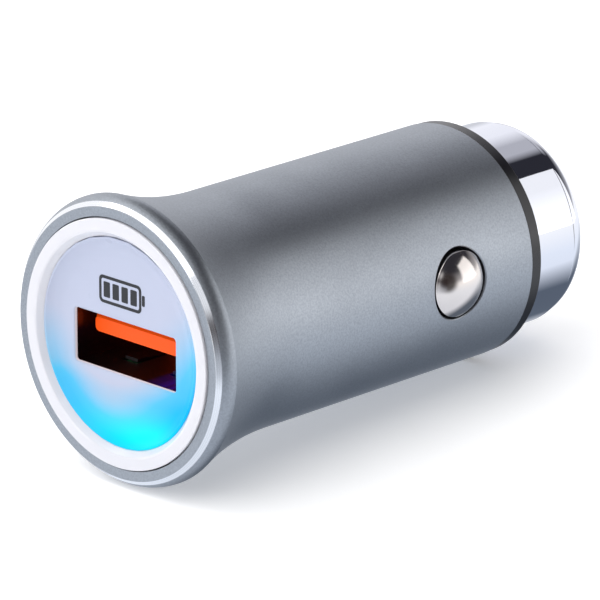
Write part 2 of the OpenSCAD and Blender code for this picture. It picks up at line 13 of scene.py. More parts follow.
import bmesh
import bpy
import numpy as np
from mathutils import Matrix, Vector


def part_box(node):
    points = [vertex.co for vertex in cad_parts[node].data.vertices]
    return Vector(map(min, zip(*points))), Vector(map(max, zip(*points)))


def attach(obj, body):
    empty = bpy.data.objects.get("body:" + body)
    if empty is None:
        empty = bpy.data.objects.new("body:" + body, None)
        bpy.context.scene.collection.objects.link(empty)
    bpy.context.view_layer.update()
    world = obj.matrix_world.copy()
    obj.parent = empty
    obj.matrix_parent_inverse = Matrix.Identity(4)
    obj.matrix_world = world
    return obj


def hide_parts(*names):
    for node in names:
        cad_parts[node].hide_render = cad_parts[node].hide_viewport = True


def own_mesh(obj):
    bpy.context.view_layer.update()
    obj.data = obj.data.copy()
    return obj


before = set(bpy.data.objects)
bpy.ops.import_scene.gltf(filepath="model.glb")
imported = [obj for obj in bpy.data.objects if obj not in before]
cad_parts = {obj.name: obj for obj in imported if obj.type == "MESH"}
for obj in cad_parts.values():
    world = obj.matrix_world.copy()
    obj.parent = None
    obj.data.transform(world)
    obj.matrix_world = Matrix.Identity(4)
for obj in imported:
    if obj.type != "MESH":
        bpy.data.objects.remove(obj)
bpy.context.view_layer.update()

LOG = logging.getLogger("plug")
MM = 0.001

# Steps round the axis, on wide pieces and on the small contacts
COLUMNS = 192
SMALL_COLUMNS = 128
# Edges sharper than this stay sharp in the shading
SHARP_ANGLE = math.radians(28)
# How far from a corner a straight run gets one more point, in mm
MARGIN = 0.03
# How far two pieces that touch stand apart, in mm, as in the CAD model
CLEARANCE = 0.05
# Blender's ring waves repeat after this length at a scale of 1
WAVE_LENGTH = 0.31416
# The part of its range from 0 to 1 that a noise pattern hardly leaves
NOISE_LOW, NOISE_HIGH = 0.3, 0.7
# How fast brushed work changes along its lines, as a share of how fast it changes across them
BRUSH_STRETCH = 0.04
# The numbers of the Mix node's two colour inputs and of its colour output
COLOUR_A, COLOUR_B, COLOUR_OUT = 6, 7, 2
# Nearly straight up: a light straight overhead still has a right and a left
NEARLY_UP = (0.0, 0.02, 1.0)


class Side(Enum):
    """The two sides of the barrel that carry a contact."""

    RIGHT = 1
    LEFT = -1


class Grain(Enum):
    """How a surface was made, which decides the pattern that its bump follows."""

    BLASTED = "blasted"
    MOULDED = "moulded"
    BRUSHED = "brushed"
    TURNED = "turned"
    POLISHED = "polished"


# Surfaces worked out with numpy


@dataclass
class Surface:
    """A mesh in the making.

    points holds (n, 3) places in mm and faces holds (m, 4) rows of point numbers. A row that names a
    point twice in a row is a triangle. zones holds one finish number for each face.
    """

    points: np.ndarray
    faces: np.ndarray
    zones: np.ndarray

    @classmethod
    def grid(cls, points: np.ndarray, wrap: bool = True, zone: int = 0) -> "Surface":
        """Joins a grid of points by four-sided faces.

        Face (i, j) joins the points (i, j), (i + 1, j), (i + 1, j + 1) and (i, j + 1).

        Args:
            points: (rows, columns, 3) places in mm.
            wrap: True if the last column joins the first one.
            zone: The finish number of all the faces.

        Returns:
            The surface.
        """
        rows, columns = points.shape[:2]
        here = np.arange(rows * columns).reshape(rows, columns)
        there = np.roll(here, -1, axis=1)
        if not wrap:
            here, there = here[:, :-1], there[:, :-1]
        faces = np.stack([here[:-1], here[1:], there[1:], there[:-1]], axis=-1).reshape(-1, 4)
        return cls(points.reshape(-1, 3), faces, np.full(len(faces), zone))

    def __add__(self, other: "Surface") -> "Surface":
        """Puts two surfaces into one, without joining them."""
        return Surface(
            np.concatenate([self.points, other.points]),
            np.concatenate([self.faces, other.faces + len(self.points)]),
            np.concatenate([self.zones, other.zones]),
        )

    def mirrored(self) -> "Surface":
        """The same surface on the other side of the YZ plane, its faces still outwards."""
        return Surface(self.points * [-1, 1, 1], self.faces[:, ::-1], self.zones)

    def moved(self, shift: tuple[float, float, float]) -> "Surface":
        """The same surface moved by a shift in mm."""
        return Surface(self.points + np.array(shift), self.faces, self.zones)

    def welded(self, cell: float = 1e-4) -> "Surface":
        """Merges points that lie in the same cell of a very fine lattice.

        The lattice is shifted by an odd part of a cell, so that round sizes don't lie on its borders.

        Args:
            cell: The lattice's step in mm.

        Returns:
            The surface with one point where it had several.
        """
        shift = cell * 0.3137
        keys = np.round((self.points + shift) / cell).astype(np.int64)
        _, first, number = np.unique(keys, axis=0, return_index=True, return_inverse=True)
        return Surface(self.points[first], number.reshape(-1)[self.faces], self.zones)

    def mesh(self, name: str) -> bpy.types.Mesh:
        """Makes the Blender mesh, welded, closed and with its faces outwards.

        Args:
            name: The mesh's name.

        Returns:
            The mesh in metres, smooth but for its sharp edges.
        """
        surface = self.welded()
        kept = surface.faces != np.roll(surface.faces, -1, axis=1)
        sizes = kept.sum(axis=1)
        good = sizes >= 3
        corners = surface.faces[good][kept[good]]
        mesh = bpy.data.meshes.new(name)
        mesh.vertices.add(len(surface.points))
        mesh.vertices.foreach_set("co", (surface.points * MM).astype(np.float32).ravel())
        mesh.loops.add(len(corners))
        mesh.loops.foreach_set("vertex_index", corners.astype(np.int32))
        mesh.polygons.add(int(good.sum()))
        starts = np.cumsum(sizes[good]) - sizes[good]
        mesh.polygons.foreach_set("loop_start", starts.astype(np.int32))
        mesh.polygons.foreach_set("material_index", surface.zones[good].astype(np.int32))
        mesh.update(calc_edges=True)
        mesh.validate()
        work = bmesh.new()
        work.from_mesh(mesh)
        bmesh.ops.recalc_face_normals(work, faces=work.faces)
        work.to_mesh(mesh)
        work.free()
        mesh.polygons.foreach_set("use_smooth", np.ones(len(mesh.polygons), bool))
        mesh.set_sharp_from_angle(angle=SHARP_ANGLE)
        return mesh


def arc(centre: tuple[float, float], radius: float, start: float, end: float, count: int = 9) -> np.ndarray:
    """Points of an arc: centre plus radius times (cosine, sine) of angles in even steps.

    Args:
        centre: The middle, as (radius, y) of a profile.
        radius: The arc's own radius.
        start: First angle in degrees, from the outward direction towards +Y.
        end: Last angle in degrees.
        count: Number of points.

    Returns:
        (count, 2) points.
    """
    angles = np.radians(np.linspace(start, end, count))
    return np.array(centre) + radius * np.stack([np.cos(angles), np.sin(angles)], axis=1)


def profile(*parts: np.ndarray | tuple[float, float], margin: float = MARGIN) -> np.ndarray:
    """Joins arcs and single points to one profile, and holds its long straight runs flat.

    A straight run longer than four margins gets two more points, one margin from each of its ends, so
    that the shading of a rounded edge stays on that edge.

    Args:
        parts: Arcs of (n, 2) points and single (radius, y) points, in order.
        margin: Distance of the added points from the ends, in mm.

    Returns:
        (n, 2) points.
    """
    rough = np.concatenate([np.atleast_2d(np.asarray(part, float)) for part in parts])
    step = np.diff(rough, axis=0)
    length = np.hypot(step[:, 0], step[:, 1])
    share = np.where(length > 4 * margin, margin / np.maximum(length, 1e-9), 0)[:, None]
    runs = np.stack([rough[:-1], rough[:-1] + share * step, rough[1:] - share * step], axis=1)
    points = np.concatenate([runs.reshape(-1, 2), rough[-1:]])
    far = np.ones(len(points), bool)
    far[1:] = np.hypot(*np.diff(points, axis=0).T) > 1e-6
    return points[far]


def lathe(outline: np.ndarray, zone: int = 0, columns: int = COLUMNS) -> Surface:
    """Turns a profile about the Y axis: at angle t a point is (radius cos t, y, radius sin t).

    Args:
        outline: (n, 2) points of radius and y in mm.
        zone: The finish number of the faces.
        columns: Number of steps round the axis.

    Returns:
        The turned surface. A point on the axis becomes one pole when the surface is welded.
    """
    angles = np.arange(columns) * 2 * np.pi / columns
    radius, along = outline[:, :1], outline[:, 1:]
    points = np.stack(
        [radius * np.cos(angles), along + 0 * angles, radius * np.sin(angles)], axis=-1
    )
    return Surface.grid(points, zone=zone)


def rounded_outline(
    width: float, height: float, corner: float, y: float = 0.0, z: float = 0.0,
    side: int = 22, turn: int = 8,
) -> np.ndarray:
    """A rectangle with round corners in a plane across the Y axis.

    Each corner is a quarter circle about a point one corner radius inside both edges, and each edge is
    divided evenly, so any two outlines of this kind match point by point.

    Args:
        width: Size along X in mm.
        height: Size along Z in mm.
        corner: Corner radius in mm.
        y: Place along the axis.
        z: Height of the middle.
        side: Points on each edge.
        turn: Points on each corner.

    Returns:
        (4 * (side + turn), 3) points.
    """
    middle = np.array([[1, 1], [-1, 1], [-1, -1], [1, -1]]) * [width / 2 - corner, height / 2 - corner]
    angles = np.radians(np.linspace(0, 90, turn) + 90 * np.arange(4)[:, None])
    corners = middle[:, None] + corner * np.stack([np.cos(angles), np.sin(angles)], axis=-1)
    after = np.roll(corners[:, 0], -1, axis=0)
    share = ((np.arange(side) + 1) / (side + 1))[None, :, None]
    sides = corners[:, -1:] * (1 - share) + after[:, None] * share
    flat = np.concatenate([corners, sides], axis=1).reshape(-1, 2)
    return np.stack([flat[:, 0], np.full(len(flat), y), flat[:, 1] + z], axis=1)


def onto_circle(outline: np.ndarray, radius: float, y: float) -> np.ndarray:
    """Moves each point of an outline straight out from the axis, onto a circle of that radius at y."""
    reach = np.hypot(outline[:, 0], outline[:, 2])
    return np.stack(
        [outline[:, 0] * radius / reach, np.full(len(outline), y), outline[:, 2] * radius / reach], axis=1
    )


def between(first: np.ndarray, last: np.ndarray, steps: int) -> list[np.ndarray]:
    """Outlines that turn one outline into another: a weighted mean of the two in even steps.

    Args:
        first: The outline to start from, which is included.
        last: The outline to end at, which is left out.
        steps: Number of outlines.

    Returns:
        The outlines, in order.
    """
    return [first * (1 - k / steps) + last * (k / steps) for k in range(steps)]


def set_at(outline: np.ndarray, y: float | np.ndarray) -> np.ndarray:
    """Sets every point of an outline at the same depth y and keeps its x and z."""
    return outline * [1, 0, 1] + [0, y, 0]


def smooth(value: np.ndarray, low: float, high: float) -> np.ndarray:
    """Rises from 0 at low to 1 at high as 3 t squared less 2 t cubed, t being the share of the way."""
    t = np.clip((value - low) / (high - low), 0, 1)
    return t * t * (3 - 2 * t)


# Finishes


def linear(code: str) -> tuple[float, float, float, float]:
    """Turns an sRGB hex colour to the linear values that Blender works in, by the standard's own curve."""
    values = [int(code[i:i + 2], 16) / 255 for i in (1, 3, 5)]
    return *[v / 12.92 if v <= 0.04045 else ((v + 0.055) / 1.055) ** 2.4 for v in values], 1.0


def per_metre(size: float) -> float:
    """The scale that gives a noise pattern spots of that size in mm."""
    return 1 / (size * MM)


def set_inputs(node: bpy.types.Node, values: dict) -> None:
    """Sets inputs of a node, by their names, to values that are the same all over the surface."""
    for name, value in values.items():
        node.inputs[name].default_value = value


def add_node(tree: bpy.types.NodeTree, kind: str, inputs: dict | None = None, **settings) -> bpy.types.Node:
    """Adds one node to a tree.

    Args:
        tree: The tree to add it to.
        kind: Blender's name of the node, without ShaderNode.
        inputs: What goes into each input, a socket or a value, by the input's name or number.
        settings: The node's own settings.

    Returns:
        The node.
    """
    node = tree.nodes.new("ShaderNode" + kind)
    for name, value in settings.items():
        setattr(node, name, value)
    for key, value in (inputs or {}).items():
        if isinstance(value, bpy.types.NodeSocket):
            tree.links.new(value, node.inputs[key])
        else:
            node.inputs[key].default_value = value
    return node


@dataclass(frozen=True)
class Finish:
    """A material of one base colour with a fine grain and slow clouds in colour and roughness.

    grain is the size of one grain and relief its height, both in mm. speckle is how far the grain changes
    the colour and cloud how far the slow pattern changes the roughness, both as shares. cloud_size is the
    size of that pattern's spots in mm.
    """

    name: str
    colour: str
    roughness: float
    metallic: float = 0.0
    ior: float = 1.5
    made: Grain = Grain.MOULDED
    grain: float = 0.25
    relief: float = 0.002
    speckle: float = 0.03
    cloud: float = 0.15
    cloud_size: float = 6.0

    def place(self, tree: bpy.types.NodeTree) -> bpy.types.NodeSocket:
        """The pattern's coordinates, drawn out along Y for brushed work."""
        spot = add_node(tree, "TexCoord").outputs["Object"]
        stretch = (1, BRUSH_STRETCH, 1) if self.made is Grain.BRUSHED else (1, 1, 1)
        return add_node(tree, "Mapping", {"Vector": spot, "Scale": stretch}).outputs["Vector"]

    def grain_pattern(self, tree: bpy.types.NodeTree, spot: bpy.types.NodeSocket) -> bpy.types.NodeSocket:
        """A value from 0 to 1 that follows the grain: rings about the axis on turned work, or noise.

        Args:
            tree: The material's tree.
            spot: The coordinates.

        Returns:
            The value's socket.
        """
        if self.made is Grain.TURNED:
            rings = add_node(
                tree, "TexWave",
                {"Vector": spot, "Scale": WAVE_LENGTH * per_metre(self.grain), "Distortion": 0.4},
                wave_type="RINGS", rings_direction="Y",
            )
            return rings.outputs["Fac"]
        noise = add_node(tree, "TexNoise", {"Vector": spot, "Scale": per_metre(self.grain), "Detail": 3.0})
        return noise.outputs["Fac"]

    def colouring(
        self, tree: bpy.types.NodeTree, shader: bpy.types.Node, spot: bpy.types.NodeSocket,
        fleck: bpy.types.NodeSocket,
    ) -> None:
        """Lets the grain lighten and darken the base colour by twice the share that speckle gives.

        Args:
            tree: The material's tree.
            shader: The surface shader.
            spot: The coordinates, not used.
            fleck: The grain's value.
        """
        if not self.speckle:
            set_inputs(shader, {"Base Color": linear(self.colour)})
            return
        swing = 2 * self.speckle
        dark = tuple(v * (1 - swing) for v in linear(self.colour)[:3]) + (1.0,)
        light = tuple(min(1.0, v * (1 + swing)) for v in linear(self.colour)[:3]) + (1.0,)
        mix = add_node(tree, "Mix", {0: fleck, COLOUR_A: dark, COLOUR_B: light}, data_type="RGBA")
        tree.links.new(mix.outputs[COLOUR_OUT], shader.inputs["Base Color"])

    def material(self) -> bpy.types.Material:
        """Makes the material, or finds it if it is made already.

        Returns:
            The material.
        """
        if self.name in bpy.data.materials:
            return bpy.data.materials[self.name]
        material = bpy.data.materials.new(self.name)
        material.use_nodes = True
        tree = material.node_tree
        shader = tree.nodes["Principled BSDF"]
        set_inputs(shader, {"Metallic": self.metallic, "IOR": self.ior})
        material.diffuse_color = linear(self.colour)
        material.metallic = self.metallic
        material.roughness = self.roughness
        spot = self.place(tree)
        fleck = self.grain_pattern(tree, spot)
        self.colouring(tree, shader, spot, fleck)
        slow = add_node(
            tree, "TexNoise", {"Vector": spot, "Scale": per_metre(self.cloud_size), "Detail": 2.0}
        )
        spread = add_node(
            tree, "MapRange",
            {
                "Value": slow.outputs["Fac"], "From Min": NOISE_LOW, "From Max": NOISE_HIGH,
                "To Min": self.roughness * (1 - self.cloud), "To Max": self.roughness * (1 + self.cloud),
            },
        )
        tree.links.new(spread.outputs["Result"], shader.inputs["Roughness"])
        bump = add_node(tree, "Bump", {"Height": fleck, "Strength": 1.0, "Distance": self.relief * MM})
        tree.links.new(bump.outputs["Normal"], shader.inputs["Normal"])
        self.extras(tree, shader, spot)
        return material

    def extras(self, tree: bpy.types.NodeTree, shader: bpy.types.Node, spot: bpy.types.NodeSocket) -> None:
        """What a special finish adds. A plain one adds nothing."""


@dataclass(frozen=True)
class MilkyPlastic(Finish):
    """Milky moulded plastic that lets some light in, so edges look soft and shadows pale.

    depth is how far the light wanders below the surface, in mm, and milky the share that does.
    """

    depth: float = 0.8
    milky: float = 0.25

    def extras(self, tree: bpy.types.NodeTree, shader: bpy.types.Node, spot: bpy.types.NodeSocket) -> None:
        """Lets light wander below the surface."""
        set_inputs(shader, {
            "Subsurface Weight": self.milky, "Subsurface Radius": (1.0, 1.0, 1.0),
            "Subsurface Scale": self.depth * MM,
        })


@dataclass(frozen=True)
class LitPolycarbonate(Finish):
    """Opal polycarbonate with lamps behind it: the panel's own values say where it shines.

    The attribute glow runs from 0, plain lavender, to 1, full blue. The attribute heart is the hot spot
    in front of the lamps, where the blue turns to cyan. The attribute wall is 1 on the cut wall of the
    slot, which gets a painted pale highlight: a paler base colour and a pale painted light. The plastic
    has one set of colours, which the room's light brings out, and the light that comes through it has
    another. Each set gives the colours for a glow of 0, a half and 1.
    """

    plastic: tuple[str, str, str] = ("#B2B8CC", "#3C93BF", "#007DB4")
    light: tuple[str, str, str] = ("#000000", "#3F8393", "#008CB4")
    hot_plastic: str = "#00B3C3"
    hot_light: str = "#00B8B8"
    # Colours of the painted pale highlight on the slot's cut wall: its base colour and its painted light
    wall_highlight_base: str = "#C4BFC4"
    wall_highlight_light: str = "#878183"
    gloss: float = 0.08

    def colouring(
        self, tree: bpy.types.NodeTree, shader: bpy.types.Node, spot: bpy.types.NodeSocket,
        fleck: bpy.types.NodeSocket,
    ) -> None:
        """Colours the panel by the three values, once for the plastic and once for its light.

        Args:
            tree: The material's tree.
            shader: The surface shader.
            spot: The coordinates, not used.
            fleck: The grain's value, which the moulded panel leaves to its bump.
        """
        glow = add_node(tree, "Attribute", attribute_name="glow").outputs["Fac"]
        heart = add_node(tree, "Attribute", attribute_name="heart").outputs["Fac"]
        wall = add_node(tree, "Attribute", attribute_name="wall").outputs["Fac"]
        share = add_node(tree, "Math", {0: heart, 1: glow}, operation="MULTIPLY").outputs["Value"]
        for codes, hot, edge, socket in (
            (self.plastic, self.hot_plastic, self.wall_highlight_base, "Base Color"),
            (self.light, self.hot_light, self.wall_highlight_light, "Emission Color"),
        ):
            ramp = add_node(tree, "ValToRGB", {"Fac": glow})
            ramp.color_ramp.elements.new(0.5)
            for element, code in zip(ramp.color_ramp.elements, codes):
                element.color = linear(code)
            mix = add_node(
                tree, "Mix", {0: share, COLOUR_A: ramp.outputs["Color"], COLOUR_B: linear(hot)},
                data_type="RGBA",
            )
            # Painted highlight: the slot's cut wall turns to a pale base colour and a pale painted light
            wall_highlighted = add_node(
                tree, "Mix", {0: wall, COLOUR_A: mix.outputs[COLOUR_OUT], COLOUR_B: linear(edge)},
                data_type="RGBA",
            )
            tree.links.new(wall_highlighted.outputs[COLOUR_OUT], shader.inputs[socket])
        set_inputs(shader, {"Emission Strength": 1.0, "Specular IOR Level": self.gloss})


@dataclass(frozen=True)
class LightTablePaper(Finish):
    """White paper lit a little from below, so that the shadow on it stays pale."""

    shine: float = 0.22

    def extras(self, tree: bpy.types.NodeTree, shader: bpy.types.Node, spot: bpy.types.NodeSocket) -> None:
        """Makes the paper shine in its own colour."""
        set_inputs(shader, {"Emission Color": linear(self.colour), "Emission Strength": self.shine})


@dataclass(frozen=True)
class GlassEpoxy(Finish):
    """Green solder mask over copper: the tracks below it show as lighter bands.

    track is the width of a band in mm and uneven how far its cells are from a plain grid. A band is
    where the distance from a cell's middle, as a share of the cell, passes both borders. lift and more
    are what its colour is multiplied by and what is added.
    """

    track: float = 0.9
    uneven: float = 0.55
    borders: tuple[float, float] = (0.36, 0.40)
    lift: float = 1.9
    more: float = 0.01

    def extras(self, tree: bpy.types.NodeTree, shader: bpy.types.Node, spot: bpy.types.NodeSocket) -> None:
        """Draws tracks as the edges of straight-sided cells, as wide as track says in mm."""
        cells = add_node(
            tree, "TexVoronoi",
            {"Vector": spot, "Scale": per_metre(self.track * 3), "Randomness": self.uneven},
            feature="F1", distance="CHEBYCHEV",
        )
        step = add_node(
            tree, "MapRange",
            {
                "Value": cells.outputs["Distance"], "From Min": self.borders[0],
                "From Max": self.borders[1], "To Min": 0, "To Max": 1,
            },
        )
        before = shader.inputs["Base Color"].links[0].from_socket
        lighter = tuple(min(1.0, v * self.lift + self.more) for v in linear(self.colour)[:3]) + (1.0,)
        mix = add_node(
            tree, "Mix", {0: step.outputs["Result"], COLOUR_A: before, COLOUR_B: lighter}, data_type="RGBA"
        )
        tree.links.new(mix.outputs[COLOUR_OUT], shader.inputs["Base Color"])


@dataclass(frozen=True)
class TintedNylon(Finish):
    """Bright orange nylon with only a weak gloss, brightened all over by a painted glow of its own colour.
    """

    painted_glow: float = 0.10
    gloss: float = 0.2

    def extras(self, tree: bpy.types.NodeTree, shader: bpy.types.Node, spot: bpy.types.NodeSocket) -> None:
        """Adds the weak painted glow and lowers the gloss."""
        set_inputs(shader, {
            "Emission Color": linear(self.colour), "Emission Strength": self.painted_glow,
            "Specular IOR Level": self.gloss,
        })


@dataclass(frozen=True)
class LampLitSteel(Finish):
    """Steel of the port's shell, with violet light painted on as its own glow at the mouth's low corner.

    corner and reach are mm. streak is the width of one streak in mm, drawn_out how much less the streaks
    change along y than across it, streak_low the value of their noise where they begin, and weakest the
    share of light that is left between them.
    """

    corner: tuple[float, float, float] = (5.0, 2.6, -3.1)
    reach: float = 4.2
    painted_leak: str = "#3320D8"
    strength: float = 0.60
    streak: float = 0.22
    drawn_out: float = 0.12
    streak_low: float = 0.35
    weakest: float = 0.2

    def extras(self, tree: bpy.types.NodeTree, shader: bpy.types.Node, spot: bpy.types.NodeSocket) -> None:
        """Adds painted light that falls straight off to nothing at the reach, broken up by streaks along y.
        """
        place = tuple(value * MM for value in self.corner)
        away = add_node(tree, "VectorMath", {0: spot, 1: place}, operation="DISTANCE")
        near = add_node(
            tree, "MapRange",
            {
                "Value": away.outputs["Value"], "From Min": self.reach * MM, "From Max": 0.0,
                "To Min": 0.0, "To Max": self.strength,
            },
        )
        drawn = add_node(
            tree, "VectorMath", {0: spot, 1: (1.0, self.drawn_out, 1.0)}, operation="MULTIPLY"
        )
        streak = add_node(
            tree, "TexNoise",
            {"Vector": drawn.outputs["Vector"], "Scale": per_metre(self.streak), "Detail": 1.0},
        )
        part = add_node(
            tree, "MapRange",
            {
                "Value": streak.outputs["Fac"], "From Min": self.streak_low, "From Max": NOISE_HIGH,
                "To Min": self.weakest, "To Max": 1.0,
            },
        )
        shine = add_node(
            tree, "Math", {0: near.outputs["Result"], 1: part.outputs["Result"]}, operation="MULTIPLY"
        )
        # Painted light: the steel itself gives off the violet colour
        set_inputs(shader, {"Emission Color": linear(self.painted_leak)})
        tree.links.new(shine.outputs["Value"], shader.inputs["Emission Strength"])


@dataclass(frozen=True)
class LampLens(Finish):
    """Clear epoxy over a lit chip, so the small block shines by itself."""

    light: str = "#37D8FF"
    strength: float = 2.0

    def extras(self, tree: bpy.types.NodeTree, shader: bpy.types.Node, spot: bpy.types.NodeSocket) -> None:
        """Gives the lens a steady cyan light."""
        set_inputs(shader, {"Emission Color": linear(self.light), "Emission Strength": self.strength})


# Bead-blasted, grey anodised aluminium: satin, with a fine sparkle. Real pits are about 0.05 mm, and are
# drawn at 0.17 mm, so that they show
BARREL_METAL = Finish(
    "anodised_aluminium", "#A0A5AC", 0.44, metallic=1.0, made=Grain.BLASTED,
    grain=0.17, relief=0.011, speckle=0.14, cloud=0.06,
)
# Diamond-cut bare aluminium: a bright, nearly mirror edge with turning lines. Real ones are a few
# hundredths of a mm apart, and are drawn at 0.11 mm, so that they show
CUT_METAL = Finish(
    "diamond_cut_aluminium", "#E4E6EA", 0.13, metallic=1.0, made=Grain.TURNED,
    grain=0.11, relief=0.0002, speckle=0.02, cloud=0.1,
)
# White polycarbonate of the ring, moulded with a gloss: sharp reflections over a soft body
RING_WHITE = MilkyPlastic(
    "white_polycarbonate", "#D3D3D9", 0.14, ior=1.585, grain=0.9, relief=0.0008, speckle=0.004, cloud=0.2,
)
# Opal polycarbonate of the lit panel, moulded semi-matt: reflections spread wide. The slot's cut wall
# carries a painted pale highlight
PANEL = LitPolycarbonate(
    "lit_opal_polycarbonate", "#BBC0D6", 0.30, ior=1.585, grain=0.5, relief=0.001, speckle=0.0, cloud=0.1,
)
# Pad-printed ink, dark grey and matt
INK = Finish("pad_printing_ink", "#1C1E24", 0.55, grain=0.12, relief=0.001, speckle=0.05)
# Nickel-plated steel of the port, stamped from sheet: a dark satin with lines along the port. The
# lines are drawn at 0.10 mm, coarser than real ones, so that they show
# The violet light at the mouth's low corner is painted on the steel
SHELL_STEEL = LampLitSteel(
    "nickel_plated_steel", "#544F50", 0.30, metallic=1.0, made=Grain.BRUSHED,
    grain=0.10, relief=0.0015, speckle=0.06, cloud=0.2,
)
# Orange glass-filled nylon of the tongue: a full colour with a weak, broad gloss and a painted glow
TONGUE_NYLON = TintedNylon(
    "orange_nylon", "#FF5608", 0.45, ior=1.53, grain=0.12, relief=0.0015, speckle=0.02,
)
# Gold-flashed copper alloy of the blades: warm and shiny
GOLD = Finish(
    "gold_plated_bronze", "#E2BC66", 0.22, metallic=1.0, made=Grain.POLISHED, grain=0.2, relief=0.0004
)
# Bright nickel plate on the sprung contacts, turned and polished: a warm mirror with slight waves
NICKEL = Finish(
    "bright_nickel_plate", "#DED7D3", 0.16, metallic=1.0, made=Grain.POLISHED,
    grain=1.2, relief=0.0006, speckle=0.01, cloud=0.3,
)
# Bright chrome plate of the cap: a cold mirror
CHROME = Finish(
    "chrome_plate", "#DADCE4", 0.035, metallic=1.0, made=Grain.POLISHED,
    grain=4.0, relief=0.0010, speckle=0.0, cloud=0.2,
)
# Black glass-filled nylon of the insulating ring: satin, so its edges carry soft highlights
BLACK_NYLON = Finish("black_nylon", "#0E0D12", 0.28, ior=1.53, grain=0.10, relief=0.002, speckle=0.10)
# Acetal of the bush: smooth and slightly waxy
ACETAL = MilkyPlastic("acetal", "#DCDCD8", 0.38, ior=1.48, grain=0.4, relief=0.0008, speckle=0.01)
# Drawn spring wire: shiny, with drawing lines that are too fine to show and are left out
SPRING_WIRE = Finish("spring_steel", "#A5A5A8", 0.26, metallic=1.0, grain=0.15, relief=0.0008, speckle=0.05)
# Matt black ABS of the carrier, with a spark-eroded grain
CARRIER_ABS = Finish("black_abs", "#1B1B1E", 0.58, grain=0.3, relief=0.006, speckle=0.08)
# Glass epoxy board with green solder mask: satin, with lighter tracks
BOARD = GlassEpoxy("glass_epoxy_board", "#0E4A2C", 0.32, grain=0.35, relief=0.002, speckle=0.05)
# White solder mask of the lamp board, which throws the light forwards
WHITE_BOARD = Finish("white_solder_mask", "#E7E8E8", 0.42, grain=0.3, relief=0.002, speckle=0.02)
# Clear epoxy of the lamps: glossy, and bright from within
LAMP = LampLens("lamp_epoxy", "#BFEFFF", 0.15, ior=1.54, grain=0.4, relief=0.0005, speckle=0.0)
# Black moulding compound of the chips: matt, with pale specks of filler
CHIP_EPOXY = Finish("moulding_compound", "#1D1D20", 0.62, grain=0.08, relief=0.003, speckle=0.12)
# Sintered ferrite, dark grey and dry
FERRITE = Finish("sintered_ferrite", "#3A3A3E", 0.70, grain=0.12, relief=0.005, speckle=0.15)
# Drawn aluminium of the capacitor cans: shiny, with lines along them
CAN = Finish("drawn_aluminium", "#C9CBCE", 0.24, metallic=1.0, made=Grain.BRUSHED, grain=0.12, relief=0.001)
# Ceramic of the fuse, cream and half matt
FUSE = Finish("fuse_ceramic", "#D7CFB4", 0.45, grain=0.2, relief=0.002, speckle=0.05)
# Rolled brass of the strap, cup and lead: yellow, with rolling lines
BRASS = Finish("rolled_brass", "#D2AC5A", 0.28, metallic=1.0, made=Grain.BRUSHED, grain=0.1, relief=0.001)
# White drawing paper of the floor: matt, with a fine tooth
PAPER = LightTablePaper("white_paper", "#FAFAFA", 0.9, grain=0.4, speckle=0.002)


# Help with the frame


@dataclass(frozen=True)
class NodeBox:
    """The box of one CAD node at rest, in mm."""

    low: np.ndarray
    high: np.ndarray

    @classmethod
    def of(cls, node: str) -> "NodeBox":
        """Reads the box of a node by its name."""
        low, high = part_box(node)
        return cls(np.array(low) / MM, np.array(high) / MM)

    @property
    def middle(self) -> np.ndarray:
        """The box's middle."""
        return (self.low + self.high) / 2


def show(
    name: str, surface: Surface, finishes: list[Finish], body: str,
    replaces: tuple[str, ...] = (),
) -> bpy.types.Object:
    """Makes a piece of a surface, dresses it and lets it ride on a body.

    Args:
        name: The piece's name.
        surface: Its surface in mm.
        finishes: Its finishes, in the order of the surface's zones.
        body: The CAD body that carries it.
        replaces: The CAD nodes that it stands for.

    Returns:
        The piece.
    """
    piece = bpy.data.objects.new(name, surface.mesh(name))
    bpy.context.scene.collection.objects.link(piece)
    for finish in finishes:
        piece.data.materials.append(finish.material())
    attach(piece, body)
    if replaces:
        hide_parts(*replaces)
    LOG.info("%s: %d faces on %s", name, len(piece.data.polygons), body)
    return piece


def dress_node(node: str, finish: Finish) -> None:
    """Gives a CAD node that stays in view its finish."""
    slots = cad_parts[node].material_slots
    for slot in slots:
        slot.material = finish.material()
    if not slots:
        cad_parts[node].data.materials.append(finish.material())
    LOG.info("%s: CAD node, %s", node, finish.name)


# The sub-assemblies


